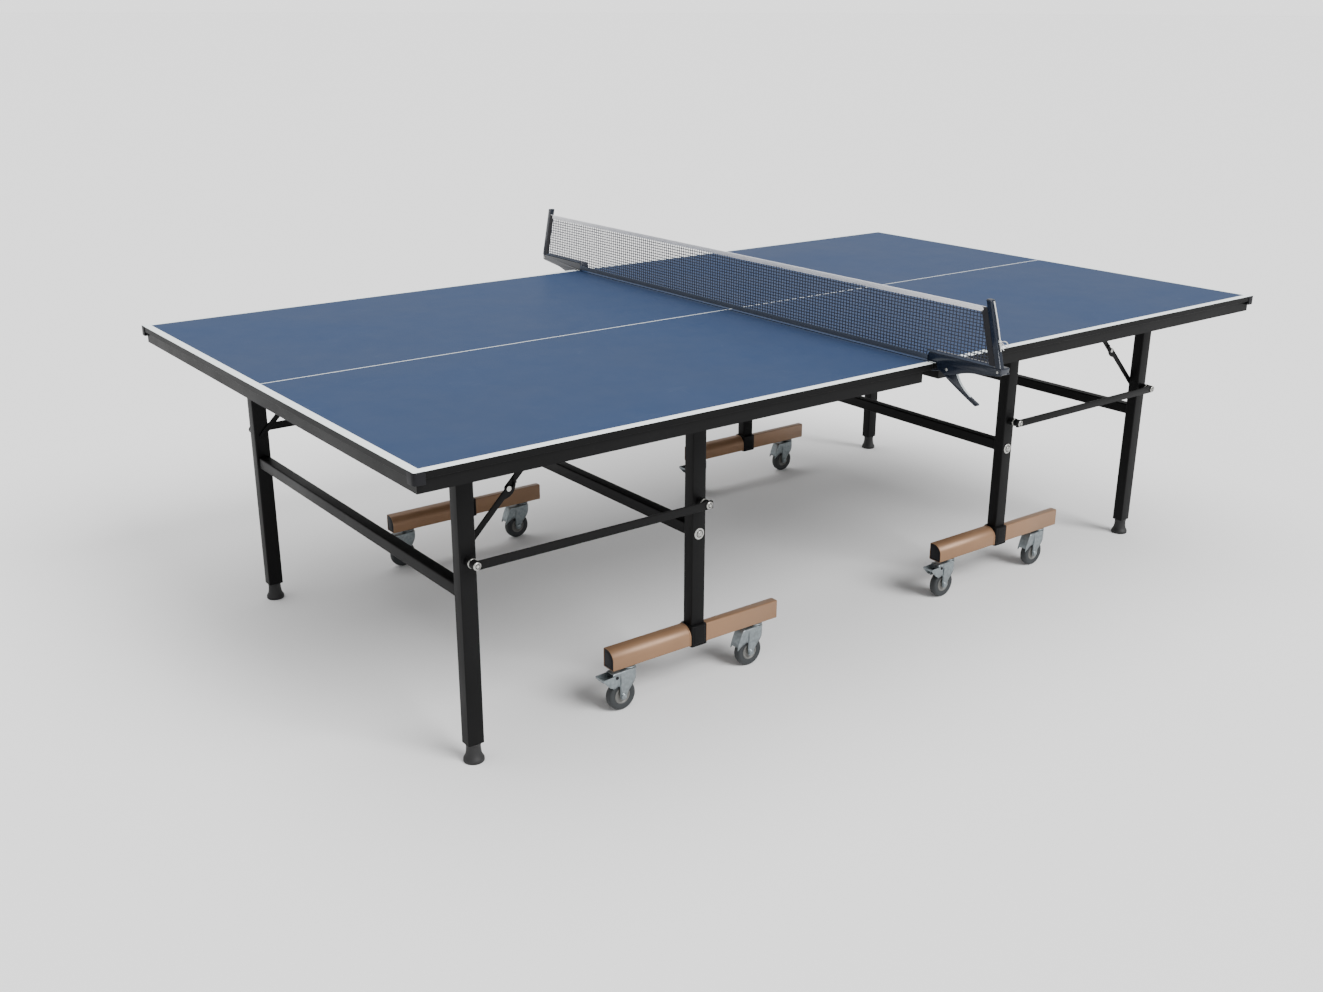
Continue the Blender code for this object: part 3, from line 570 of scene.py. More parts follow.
def cloth_finish(name, tone, threads, sheen=0.2):
    """Woven tape: thread bands as height, and painted shade that darkens the colour where the weave is low
    and lightens it on the threads.
    """
    made, tree, shader, where = blank_finish(name)
    weave = place_effect(tree, "plain_weave", where, Threads=threads)
    # Painted shade: darker where the weave is low.
    weave_shaded = mixed(tree, ranged(tree, weave["Height"], 0.3, 1.0), scaled(tone, 0.72), scaled(tone, 1.08))
    soiled = mixed(tree, ranged(tree, weave["Shade"], 0.45, 0.8, 0.0, 0.25), weave_shaded, scaled(tone, 0.7))
    feed(tree, shader, Base_Color=soiled, Roughness=0.85, Sheen_Weight=sheen,
         Normal=bumped(tree, weave["Height"], 0.5, 0.0003))
    return made


def braid_finish(name):
    """Braided cord: two diagonal sine bands that cross, and painted shade that darkens the colour where
    they are low.
    """
    made, tree, shader, where = blank_finish(name)
    parts = split(tree, where)
    bands = []
    for sign in (-1.0, 1.0):
        line = calculated(tree, "ADD", calculated(tree, "MULTIPLY", parts["X"], sign), parts["Z"])
        bands.append(calculated(tree, "SINE", calculated(tree, "MULTIPLY", line, 4200.0)))
    height = calculated(tree, "MAXIMUM", *bands)
    tone = colour("cord_white")
    # Painted shade: darker where the braid is low.
    feed(tree, shader, Base_Color=mixed(tree, ranged(tree, height, -0.6, 1.0), scaled(tone, 0.6), tone),
         Roughness=0.8, Sheen_Weight=0.2, Normal=bumped(tree, height, 0.5, 0.0003))
    return made


# Each coat: its colour setting, roughness, change of shade and what differs from the usual.
COATS = {
    "black_powder_coat": ("black_coat", 0.42, 0.22, dict(dust=0.02, gloss=0.10)),
    "copper_powder_coat": ("copper_coat", 0.40, 0.06,
                           dict(metallic=0.25, fine=1400.0, broad=7.0, scuff=0.12, dust=0.06)),
    # Also used for the painted shade rings in the bolt heads.
    "moulded_black": ("cap_black", 0.48, 0.10, dict(fine=1600.0, scuff=0.15, dust=0.03, gloss=0.16)),
    "bolt_steel": ("bolt_steel", 0.30, 0.14,
                   dict(metallic=0.8, fine=1600.0, broad=90.0, scuff=0.2, dust=0.0)),
    "tyre_rubber": ("tyre_grey", 0.58, 0.14, dict(fine=1300.0, broad=30.0, bump=0.35, dust=0.10)),
    "hub_plastic": ("hub_grey", 0.42, 0.10, dict(fine=1500.0, broad=50.0, scuff=0.05, dust=0.05)),
    "foot_rubber": ("foot_black", 0.62, 0.18, dict(fine=1200.0, broad=35.0, bump=0.4, dust=0.10)),
    "navy_gloss": ("clamp_navy", 0.20, 0.10,
                   dict(fine=700.0, broad=22.0, bump=0.10, scuff=0.12, dust=0.10)),
    # A painted highlight, not a polished metal edge: the pale strip on each lever's outer edge.
    "polished_edge": ("edge_white", 0.30, 0.05,
                      dict(metallic=0.1, fine=1500.0, broad=60.0, scuff=0.1, dust=0.0)),
}
# Each cloth: its colour setting and its threads, then its sheen where it differs.
CLOTHS = {"net_strand": ("strand_navy", 5200.0), "white_tape": ("tape_white", 3100.0),
          "sleeve_cloth": ("sleeve_black", 3100.0, 0.02), "hem_cloth": ("hem_navy", 3100.0)}
OTHERS = {"playing_surface_paint": playing_finish, "zinc_plate": zinc_finish,
          "braided_cord": braid_finish}


def finish(name):
    """The named finish, made the first time that it is asked for."""
    made = bpy.data.materials.get(name)
    if made:
        return made
    if name in COATS:
        tone, rough, lift, values = COATS[name]
        return coated_finish(name, colour(tone), rough, lift, **values)
    if name in CLOTHS:
        tone, *values = CLOTHS[name]
        return cloth_finish(name, colour(tone), *values)
    return OTHERS[name](name)


# ---- stage ----

def camera_matrix():
    """The camera's pose from its turn about Z, its tilt down and its small roll."""
    ahead = Vector((math.cos(CAMERA_DOWN) * math.sin(CAMERA_TURN),
                    math.cos(CAMERA_DOWN) * math.cos(CAMERA_TURN), -math.sin(CAMERA_DOWN)))
    right = ahead.cross(Vector((0, 0, 1))).normalized()
    up = right.cross(ahead)
    level = math.cos(CAMERA_ROLL) * right + math.sin(CAMERA_ROLL) * up
    upright = -math.sin(CAMERA_ROLL) * right + math.cos(CAMERA_ROLL) * up
    turn = Matrix((level, upright, -ahead)).transposed()
    return Matrix.Translation(CAMERA_AT) @ turn.to_4x4()


def soft_sun(name, comes_from, strength, spread):
    """An even light without falloff: comes_from points at it, and spread is its width in degrees."""
    data = bpy.data.lights.new(name, "SUN")
    data.energy, data.angle = strength, math.radians(spread)
    lamp = linked(name, data)
    lamp.location = Vector(comes_from)
    lamp.rotation_euler = (-Vector(comes_from)).to_track_quat("-Z", "Y").to_euler()


def floor_finish():
    made, tree, shader, where = blank_finish("studio_floor")
    grain = place_effect(tree, "coating_grain", where, Fine=60.0, Broad=0.5)
    tone = tuple(bpy.context.scene.table_stage.floor)
    feed(tree, shader, Base_Color=mixed(tree, grain["Shade"], scaled(tone, 0.985), tone), Roughness=0.9,
         Specular_IOR_Level=0.1)
    return made


class TABLE_OT_stage(bpy.types.Operator):
    """Set up the camera, the plain floor and the soft studio light"""

    bl_idname = "table.stage"
    bl_label = "Stage"

    def execute(self, context):
        setup = context.scene.table_stage
        data = bpy.data.cameras.new("camera")
        data.lens, data.sensor_width, data.clip_end = setup.lens, 36.0, 2000.0
        camera = linked("camera", data)
        camera.matrix_world = camera_matrix()
        context.scene.camera = camera
        world = bpy.data.worlds.new("white_studio")
        world.use_nodes = True
        tree, white = world.node_tree, (1.0, 1.0, 1.0, 1.0)
        sky = feed(tree, tree.nodes["Background"], Color=white, Strength=setup.sky)
        seen = add(tree, "ShaderNodeBackground", Color=white, Strength=setup.backdrop)
        rays = tree.nodes.new("ShaderNodeLightPath").outputs["Is Camera Ray"]
        either = add(tree, "ShaderNodeMixShader", Fac=rays)
        for socket, source in zip(either.inputs[1:], (sky, seen)):
            join(tree, source.outputs["Background"], socket)
        feed(tree, tree.nodes["World Output"], Surface=either.outputs["Shader"])
        context.scene.world = world
        soft_sun("key_light", (1.2, -4.5, 4.0), setup.key, 32.0)
        soft_sun("overhead_light", (-0.8, 0.6, 6.0), setup.fill, 60.0)
        corners = FLOOR_REACH * np.array([[(-1, -1, 0), (-1, 1, 0)], [(1, -1, 0), (1, 1, 0)]], float)
        mesh = bpy.data.meshes.new("studio_floor")
        points, faces = sheeted(corners)
        mesh.from_pydata(points.tolist(), [], [face[::-1] for face in faces])
        mesh.materials.append(floor_finish())
        linked("studio_floor", mesh)
        return {"FINISHED"}


# ---- net's tension cord ----
def post_inner(z, clear):
    """The distance from the middle of a post's inner face at a height, less a clearance."""
    return POST_BASE[0] + POST_LEAN * (z - POST_BASE[1]) - POST_HALF - clear


def cord_route():
    """From the near post's head down its outer side, with a slight bow outwards."""
    t = np.linspace(0, 1, 16)
    top = np.array([POST_TOP[0] + POST_HALF + 0.003, POST_TOP[1] - 0.003])
    low = np.array([post_inner(CORD_KNOT_Z, 0) + 2 * POST_HALF + 0.003, CORD_KNOT_Z])
    place = top + (low - top) * t[:, None]
    bow = 0.002 * np.sin(math.pi * t)
    return np.stack([np.full(len(t), POST_X), -(place[:, 0] + bow), place[:, 1]], axis=-1)


def bow_shells(knot):
    """A small bow: a loop on each side, two tails and a wrapped knot.
    A loop is a drop-shaped curve: reach (1 - cos t) / 2 outwards and width sin t (1 - cos t) / 2."""
    t = np.linspace(0.06, math.tau - 0.06, 33)
    shells = []
    for turn, reach, width in ((0.35, 0.024, 0.010), (2.75, 0.020, 0.009)):
        out, side = reach * (1 - np.cos(t)) / 2, width * np.sin(t) * (1 - np.cos(t)) / 2
        y = out * math.cos(turn) - side * math.sin(turn)
        z = -out * math.sin(turn) * 0.55 + side * math.cos(turn)
        path = np.stack([np.full(len(t), 0.0), -y, z], axis=-1)
        shells.append(carried(knot + path, circle(0.0011, 8), (1, 0, 0)))
    s = np.linspace(0, 1, 12)
    for y_reach, drop in ((0.012, 0.022), (-0.010, 0.019)):
        path = np.stack([0.002 * s, y_reach * s ** 1.4, -drop * s + 0.004 * s * (1 - s)], axis=-1)
        shells.append(carried(knot + path, circle(0.0011, 8), (1, 0, 0)))
    turn = np.linspace(0, math.pi, 9)
    bead = np.stack([0.0034 * np.sin(turn) + 1e-5, -0.0030 * np.cos(turn)], axis=-1)
    shells.append(moved(turned(bead, (0, 0), "Z", 14), knot))
    return shells


class TABLE_OT_net_cord(bpy.types.Operator):
    """Make the net's tension cord and its bow on the near post"""

    bl_idname = "table.net_cord"
    bl_label = "Net cord"

    def execute(self, context):
        route = cord_route()
        curve = bpy.data.curves.new("tension_cord", "CURVE")
        curve.dimensions = "3D"
        curve.bevel_depth = CORD_R
        curve.bevel_resolution = 3
        curve.use_fill_caps = True
        spline = curve.splines.new("POLY")
        spline.points.add(len(route) - 1)
        spline.points.foreach_set("co", np.column_stack([route, np.ones(len(route))]).ravel())
        curve.materials.append(finish("braided_cord"))
        cord = linked("tension_cord", curve)
        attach(cord, "right_top")
        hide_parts("net_cord")
        knot = route[-4] + np.array([0.0, -0.0008, 0.0])
        bow = piece("tension_cord_bow", bow_shells(knot), finish("braided_cord"), "right_top",
                    crease=60)
        return {"FINISHED"}


# ---- top ----
class TABLE_OT_boards(bpy.types.Operator):
    """Paint the boards and coat the apron frames"""

    bl_idname = "table.boards"
    bl_label = "Boards and aprons"

    def execute(self, context):
        for half, _ in HALVES:
            for node, name in ((f"{half}_board", "playing_surface_paint"),
                               (f"{half}_apron_frame", "black_powder_coat")):
                NODES[node].data.materials.clear()
                NODES[node].data.materials.append(finish(name))
        return {"FINISHED"}


def cap_outline(side, y_sign, inner, outer, long):
    """An L round a board corner, from a distance inside its edges to a distance outside."""
    x, y = HALF_LENGTH, HALF_WIDTH
    corners = [(x + outer, y + outer), (x + outer, y - long), (x - inner, y - long),
               (x - inner, y - inner), (x - long, y - inner), (x - long, y + outer)]
    shape = softened(corners, [0.011, 0.001, 0.0006, 0.003, 0.0006, 0.001], 7)
    return shape * np.array([side, y_sign])


class TABLE_OT_corner_caps(bpy.types.Operator):
    """Make the moulded caps on the table's four outer corners"""

    bl_idname = "table.corner_caps"
    bl_label = "Corner caps"

    def execute(self, context):
        size = sizes()
        low = TABLE_TOP - size.cap_tall
        for half, side, name, y_sign in CORNERS:
            wall = cap_outline(side, y_sign, 0.0012, size.cap_proud, size.cap_long)
            shelf = cap_outline(side, y_sign, 0.0104, size.cap_proud * 0.98, size.cap_long)
            shells = [slab(wall, low, TABLE_TOP - 0.0004, "Z", 0.0009),
                      slab(shelf, low, BOARD_UNDER - 0.0004, "Z", 0.0008)]
            piece(f"{half}_{name}_corner_cap", shells, finish("moulded_black"), f"{half}_top")
        return {"FINISHED"}


# ---- legs ----
def leg_tube(x, y, low, high):
    section = rounded_rect((x, y), LEG_ACROSS_X, LEG_ACROSS_Y, LEG_CORNER)
    return slab(section, low, high, "Z", 0.0010)


def crossbar(x, over, edge):
    """The square tube between a half's legs. It runs into each by over."""
    bar = rounded_rect((x, CROSSBAR_Z), CROSSBAR_SIDE, CROSSBAR_SIDE, 0.004)
    return slab(bar, -LEG_INNER - over, LEG_INNER + over, "Y", edge)


def link_stud_shells(x, y_sign):
    """The turned spacer and stud on a leg's outer face."""
    spacer = [(0.0096, LEG_FACE - 0.001), (0.0100, LEG_FACE + 0.002), (0.0100, LINK_IN - 0.0012),
              (0.0094, LINK_IN - 0.0004)]
    stud = [(0.0050, LINK_IN - 0.002), (0.0050, LINK_OUT + 0.001)]
    return [turned_out(profile, y_sign, (x, LINK_Z), 28) for profile in (spacer, stud)]


class TABLE_OT_wheel_legs(bpy.types.Operator):
    """Make the wheel legs with their collars, and the crossbars between them"""

    bl_idname = "table.wheel_legs"
    bl_label = "Wheel legs"

    def execute(self, context):
        for half, side in HALVES:
            x = side * WHEEL_LEG_X
            for name, y_sign in SIDES:
                y = y_sign * LEG_SPREAD
                collar = rounded_rect((x, y), COLLAR_X, COLLAR_Y, 0.0045)
                pad = rounded_rect((x, y), COLLAR_X - 0.012, COLLAR_Y + 0.0018, 0.004)
                lip = rounded_rect((x, y), COLLAR_X + 0.0012, COLLAR_Y + 0.0012, 0.005)
                shells = [leg_tube(x, y, BAR_HIGH, LEG_TOP),
                          slab(collar, BAR_LOW - 0.003, BAR_HIGH + 0.0015, "Z", 0.0018),
                          slab(pad, BAR_LOW + 0.003, BAR_HIGH + 0.001, "Z", 0.0015),
                          slab(lip, BAR_LOW - 0.003, BAR_LOW + 0.0008, "Z", 0.0009)]
                shells += link_stud_shells(x, y_sign)
                piece(f"{half}_{name}_leg_tube", shells, finish("black_powder_coat"), f"{half}_base",
                      [f"{half}_{name}_wheel_leg"])
            piece(f"{half}_leg_crossbar", [crossbar(x, 0.0, 0.0003)], finish("black_powder_coat"),
                  f"{half}_base", [f"{half}_wheel_leg_crossbar"])
        return {"FINISHED"}


class TABLE_OT_end_legs(bpy.types.Operator):
    """Make the end leg frames and their rubber feet"""

    bl_idname = "table.end_legs"
    bl_label = "End legs and feet"

    def execute(self, context):
        foot = [(0.0205, 0.0), (0.0228, 0.0006), (0.0236, 0.0020), (0.0234, 0.0075), (0.0224, 0.0100),
                (0.0200, 0.0135), (0.0180, 0.0190), (0.0168, 0.0270), (0.0163, 0.0360),
                (0.0163, 0.0400), (0.0172, 0.0412), (0.0172, FOOT_TOP - 0.0006), (0.0166, FOOT_TOP),
                (0.0100, FOOT_TOP)]
        for half, side in HALVES:
            x = side * END_LEG_X
            shells = [crossbar(x, 0.0005, 0.0002)]
            for name, y_sign in SIDES:
                y = y_sign * LEG_SPREAD
                shells += [leg_tube(x, y, FOOT_TOP + 0.0003, LEG_TOP), *link_stud_shells(x, y_sign)]
                pin = [(0.004, LEG_INNER + 0.001), (0.004, 0.5292)]
                shells.append(turned_out(pin, y_sign, (x, LINK_Z), 20))
                piece(f"{half}_{name}_rubber_foot", [turned(foot, (x, y), "Z", 40)],
                      finish("foot_rubber"), f"{half}_end_frame",
                      [f"{half}_{name}_foot"])
            piece(f"{half}_end_legs", shells, finish("black_powder_coat"), f"{half}_end_frame",
                  [f"{half}_end_leg_frame"])
        return {"FINISHED"}


# ---- caster bars ----
def bar_outline(y, flat_side, inset):
    """A tube section with a flat upright side and one big round on the other upper corner."""
    wide, arc_r = BAR_WIDE / 2 - inset, BAR_ARC - inset
    low, high = BAR_LOW + inset, BAR_HIGH - inset
    corner = max(0.0032 - inset, 0.0008)
    lower = arc((wide - corner, low + corner), corner, -90, 0, 4)
    upper = arc((wide - corner, high - corner), corner, 0, 90, 4)
    big = arc((-wide + arc_r, high - arc_r), arc_r, 90, 180, 18)
    last = arc((-wide + corner, low + corner), corner, 180, 270, 4)
    shape = np.concatenate([lower, upper, big, last])
    return np.stack([y + flat_side * shape[:, 0], shape[:, 1]], axis=-1)


def hollow_arm(y, flat_side, near, far):
    """A tube arm: its outer skin, its rounded rim at the far end and its bore, as one skin."""
    out = math.copysign(1.0, far - near)
    rings = [(0.0, near), (0.0, far - out * 0.0008), (0.0008, far), (BAR_WALL - 0.0008, far),
             (BAR_WALL, far - out * 0.0008), (BAR_WALL, far - out * 0.030)]
    stack = np.stack([bar_outline(y, flat_side, inset) for inset, _ in rings])
    places = np.array([place for _, place in rings])[:, None]
    return lofted(on_axis("X", stack[..., 0], stack[..., 1], places))


class TABLE_OT_caster_bars(bpy.types.Operator):
    """Make the copper caster bars and the recessed plugs in their ends"""

    bl_idname = "table.caster_bars"
    bl_label = "Caster bars"

    def execute(self, context):
        for half, side, name, y_sign in CORNERS:
            x, y = side * WHEEL_LEG_X, y_sign * LEG_SPREAD
            arms, plugs = [], []
            for end, flat_side in ((-1, 1), (1, -1)):
                start = x + end * (COLLAR_X / 2 - 0.004)
                face, back = x + end * (BAR_REACH - 0.0010), x + end * (BAR_REACH - 0.020)
                band = sorted((start + end * 0.0030, start + end * 0.0075))
                arms += [hollow_arm(y, flat_side, start, x + end * BAR_REACH),
                         slab(bar_outline(y, flat_side, -0.0012), *band, "X", 0.0012)]
                for inset, proud, edge in ((0.0002, 0.0, 0.0010), (0.0060, 0.0007, 0.0006)):
                    plugs.append(slab(bar_outline(y, flat_side, BAR_WALL + inset),
                                      *sorted((face + end * proud, back)), "X", edge))
            piece(f"{half}_{name}_bar_arms", arms, finish("copper_powder_coat"), f"{half}_base",
                  [f"{half}_{name}_caster_bar"], crease=50)
            piece(f"{half}_{name}_bar_plugs", plugs, finish("moulded_black"), f"{half}_base")
        return {"FINISHED"}


# ---- casters, each about its own kingpin ----
def fork_lower_edge(x, hooded):
    """The cheek's lower edge as a height: straight runs, and round under the axle."""
    back = [(-0.066, 0.0515), (-0.060, 0.0560), (-0.048, 0.0640), (-0.037, 0.0672), (-0.0325, 0.0655)]
    if not hooded:
        back = [(-0.066, 0.0640), (-0.048, 0.0640), (-0.037, 0.0672), (-0.0325, 0.0655)]
    neck = [(-0.0312, 0.0600), (-0.0310, 0.0375), (-0.0130, 0.0375), (-0.0115, 0.0440), (-0.005, 0.0530),
            (0.006, 0.0655), (0.014, 0.0770), (0.0185, 0.0860), (0.021, 0.0905)]
    known = np.array(back + neck)
    edge = np.interp(x, known[:, 0], known[:, 1])
    under = np.clip(0.0095 ** 2 - (x + TRAIL) ** 2, 0, None)
    return np.where(under > 0, np.minimum(edge, WHEEL_R - np.sqrt(under)), edge)


def fork_shells(hooded):
    """A pressed fork. Its plan is two straight cheeks and a round nose; from each plan point the
    skin rises from the cheek's lower edge, turns over a shoulder and runs in to the middle."""
    back = -0.0655 if hooded else -0.0520
    runs = np.concatenate([np.linspace(back, -0.036, 12), np.linspace(-0.0335, -0.0305, 5),
                           -TRAIL + 0.0094 * np.sin(np.linspace(-1.25, 1.25, 9)),
                           np.linspace(-0.0120, FORK_NOSE_X, 9)])
    nose = np.linspace(-math.pi / 2, math.pi / 2, 19)[1:-1]
    flat = np.zeros_like(runs)
    middle = np.concatenate([runs, np.full(len(nose), FORK_NOSE_X), runs[::-1]])
    out_x = np.concatenate([flat, np.cos(nose), flat])
    out_y = np.concatenate([flat - 1, np.sin(nose), flat + 1])
    plan_x = middle + FORK_HALF * out_x
    low = fork_lower_edge(plan_x, hooded)
    fall = np.clip((-0.046 - middle) / 0.020, 0, 1)
    high = FORK_TOP - (0.044 * fall ** 1.6 if hooded else 0.010 * fall ** 1.6)
    high = np.maximum(high, low + 0.0045)
    shoulder = 0.0032
    turn = np.linspace(0, math.pi / 2, 5)
    rise = np.linspace(0, 1, 6)[:-1]
    span = np.concatenate([np.full(5, FORK_HALF), FORK_HALF - shoulder * (1 - np.cos(turn)),
                           np.linspace(FORK_HALF - shoulder, 0, 5)[1:]])
    side = low[:, None] + (high - shoulder - low)[:, None] * rise
    over = (high - shoulder)[:, None] + shoulder * np.sin(turn)
    top = np.repeat(high[:, None], 4, axis=1)
    z = np.concatenate([side, over, top], axis=1)
    x = middle[:, None] + out_x[:, None] * span
    y = out_y[:, None] * span
    return sheeted(np.stack([x, y, z], axis=-1))


def fork_fittings():
    """The swivel head with its two races, the axle's domed nuts and washers, and the stem."""
    head = [(0.0150, -0.001), (0.0178, 0.0002), (0.0186, 0.0012), (0.0182, 0.0020), (0.0160, 0.0024),
            (0.0160, 0.0036), (0.0180, 0.0040), (0.0184, 0.0052), (0.0176, 0.0070), (0.0140, 0.0084),
            (0.0100, 0.0088), (0.0060, 0.0090), (0.0060, 0.0120)]
    shells = [turned([(r, FORK_TOP + at) for r, at in head], (0, 0), "Z", 36)]
    axle = (-TRAIL, WHEEL_R)
    ring = [(0.0086, FORK_HALF - 0.0004), (0.0088, FORK_HALF + 0.0006), (0.0082, FORK_HALF + 0.0011)]
    nut = [(0.0074, FORK_HALF + 0.0008), (0.0077, FORK_HALF + 0.0016)]
    nut += [(r, FORK_HALF + 0.0018 + h) for r, h in dome(0.0074, 0.0030, 8)]
    for sign in (-1, 1):
        shells += [turned_out(ring, sign, axle, 28), turned_out(nut, sign, axle, 24)]
    shells.append(turned([(0.0038, -FORK_HALF), (0.0038, FORK_HALF)], axle, "Y", 16))
    return shells


def tyre_shell():
    """The tyre's closed section, turned about the axle: soft shoulders and slightly hollow walls."""
    half = [(0.0208, 0.0), (0.0208, 0.0082), (0.0222, 0.0092), (0.0245, 0.0096), (0.0275, 0.0102),
            (0.0310, 0.0106), (0.0338, 0.0102), (0.0357, 0.0088), (0.0369, 0.0062), (0.0374, 0.0032)]
    profile = half + [(0.0375, 0.0)] + [(r, -at) for r, at in half[:0:-1]]
    return turned(profile, (0, 0), "Y", 56, loop=True)


def hub_shell():
    """The hub's closed section: a raised rim ring, a dished web and a boss."""
    half = [(0.0048, 0.0), (0.0048, 0.0104), (0.0078, 0.0106), (0.0092, 0.0100), (0.0098, 0.0078),
            (0.0120, 0.0068), (0.0160, 0.0070), (0.0176, 0.0084), (0.0190, 0.0091), (0.0206, 0.0086),
            (0.0210, 0.0070)]
    profile = half + [(0.0212, 0.0)] + [(r, -at) for r, at in half[:0:-1]]
    return turned(profile, (0, 0), "Y", 48, loop=True)


def pedal_shells():
    """A brake pedal: two side walls that deepen towards the fork, and a floor with a lip."""
    wall = softened([(-0.0800, 0.0945), (-0.0806, 0.0905), (-0.0580, 0.0672), (-0.0440, 0.0668),
                     (-0.0385, 0.0850), (-0.0385, 0.0965), (-0.0460, 0.0955)],
                    [0.0012, 0.002, 0.008, 0.006, 0.006, 0.003, 0.010], 5)
    shells = [slab(wall, *sorted((sign * 0.0151, sign * 0.0166)), "Y", 0.0005) for sign in (-1, 1)]
    t = np.linspace(0, 1, 14)
    path = np.stack([-0.0800 + 0.034 * t, np.zeros_like(t), 0.0915 - 0.0085 * np.sin(t * math.pi * 0.6)],
                    axis=-1)
    section = rounded_rect((0, 0), 0.0312, 0.0016, 0.0006, 2)
    shells.append(carried(path, section, (0, 1, 0)))
    t = np.linspace(-1, 1, 14)
    rail = np.stack([-0.0800 + 0 * t, 0.0155 * t, 0.0925 + 0.0006 * t ** 2], axis=-1)
    shells.append(carried(rail, rounded_rect((0, 0), 0.0030, 0.0060, 0.0008, 2), (1, 0, 0)))
    for sign in (-1, 1):
        edge = np.stack([np.linspace(-0.0795, -0.0400, 12), np.full(12, sign * 0.0158),
                         np.linspace(0.0945, 0.0958, 12)], axis=-1)
        shells.append(carried(edge, circle(0.0011, 8), (0, 1, 0)))
    return shells


class TABLE_OT_casters(bpy.types.Operator):
    """Make the eight casters with their forks, tyres, hubs and brake pedals"""

    bl_idname = "table.casters"
    bl_label = "Casters"

    def execute(self, context):
        fittings, tyre, hub, pedal = fork_fittings(), tyre_shell(), hub_shell(), pedal_shells()
        forks = {"braked": fork_shells(False), "plain": fork_shells(True)}
        rivet = [turned_out([(0.0040, 0.0164), (0.0040, 0.0176), (0.0030, 0.0186)], sign,
                            (PEDAL_X, PEDAL_Z), 18) for sign in (-1, 1)]
        for half, _, name, _ in CORNERS:
            for kind in KINDS:
                label = f"{half}_{name}_{kind}"
                swivel, roller = f"{label}_swivel", f"{label}_roller"
                kingpin = JOINT_AT[f"{label}_swivel_turn"] * (1, 1, 0)
                axle = JOINT_AT[f"{label}_wheel_turn"]
                skin = piece(f"{label}_fork_pressing", [moved(forks[kind], kingpin)],
                             finish("zinc_plate"), swivel, [f"{label}_fork"], crease=50,
                             solid=0.0020)
                skin.modifiers["wall"].use_even_offset = False
                piece(f"{label}_fork_fittings", [moved(shell, kingpin) for shell in fittings],
                      finish("zinc_plate"), swivel)
                piece(f"{label}_tyre", [moved(tyre, axle)], finish("tyre_rubber"), roller,
                      [f"{label}_wheel"])
                piece(f"{label}_hub", [moved(hub, axle)], finish("hub_plastic"), roller)
            body = f"{half}_{name}_pedal"
            kingpin = JOINT_AT[f"{half}_{name}_braked_swivel_turn"] * (1, 1, 0)
            piece(f"{body}_pressing", [moved(shell, kingpin) for shell in pedal],
                  finish("zinc_plate"), body, [f"{half}_{name}_brake_pedal"])
            piece(f"{body}_rivet", [moved(shell, kingpin) for shell in rivet],
                  finish("moulded_black"), body)
        return {"FINISHED"}


# ---- fold linkage ----
def brace_points(side):
    """Lower pivot, knuckle and upper pivot of an open brace, as (x, z)."""
    lower = np.array([side * END_LEG_X, LINK_Z])
    upper = np.array([side * BRACE_TOP_X, FOLD_Z])
    return lower, (lower + upper) / 2, upper


def capsule(start, end, half, steps=10):
    """A bar's outline from start to end with round ends."""
    turn = math.degrees(math.atan2(end[1] - start[1], end[0] - start[0]))
    return np.concatenate([arc(end, half, turn - 90, turn + 90, steps),
                           arc(start, half, turn + 90, turn + 270, steps)])


def latch_shell(side, low, high):
    """A claw at the knuckle: a flat hook that leaves the lower brace, curves out on its under
    side and ends in a small tip on the upper brace. Its width swells and falls as sin."""
    lower, knuckle, upper = brace_points(side)
    along = (upper - lower) / np.linalg.norm(upper - lower)
    out = np.array([-side * abs(along[1]), -abs(along[0])])
    t = np.linspace(0, 1, 26)
    run = -0.026 + 0.046 * t
    bulge = 0.0025 + 0.0080 * np.sin(math.pi * t) ** 0.8
    centre = knuckle + run[:, None] * along + bulge[:, None] * out
    half = 0.0020 + 0.0022 * np.sin(math.pi * np.clip(t * 1.05, 0, 1)) ** 0.7
    outline = np.concatenate([centre + half[:, None] * out, (centre - half[:, None] * out)[::-1]])
    tip = knuckle + 0.0205 * along + 0.0045 * out
    nib = capsule(tip, tip - 0.007 * out + 0.001 * along, 0.0022, 6)
    return [slab(outline, low, high, "Y", 0.0006), slab(nib, low, high, "Y", 0.0006)]


class TABLE_OT_linkage(bpy.types.Operator):
    """Make the link bars, the jointed braces and their claws"""

    bl_idname = "table.linkage"
    bl_label = "Fold linkage"

    def execute(self, context):
        steel = finish("black_powder_coat")
        for half, side in HALVES:
            lower, knuckle, upper = brace_points(side)
            wheel_x, end_x = side * WHEEL_LEG_X, side * END_LEG_X
            square = wheel_x - side * LINK_OVERRUN
            for name, y_sign in SIDES:
                round_end = arc((end_x, LINK_Z), LINK_HALF, 90, 90 - side * 180, 14)
                square_end = [(square, LINK_Z - LINK_HALF), (square, LINK_Z + LINK_HALF),
                              (wheel_x, LINK_Z + LINK_HALF), (wheel_x, LINK_Z - LINK_HALF)]
                square_end = softened(square_end, [0.0035, 0.0035, 0.0, 0.0], 5)[:12]
                outline = np.concatenate([square_end, round_end])
                low, high = sorted((y_sign * LINK_IN, y_sign * LINK_OUT))
                piece(f"{half}_{name}_link_strap", [slab(outline, low, high, "Y", 0.0009)], steel,
                      f"{half}_links", [f"{half}_{name}_link_bar"])
                for part, pivot in (("lower", lower), ("upper", upper)):
                    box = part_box(f"{half}_{name}_{part}_brace")
                    shells = [slab(capsule(pivot, knuckle, BRACE_HALF), box[0].y, box[1].y, "Y", 0.0007)]
                    if part == "lower":
                        shells += latch_shell(side, box[0].y + 0.0004, box[1].y - 0.0004)
                    piece(f"{half}_{name}_{part}_brace_strap", shells, steel, f"{half}_{part}_braces",
                          [f"{half}_{name}_{part}_brace"])
        return {"FINISHED"}


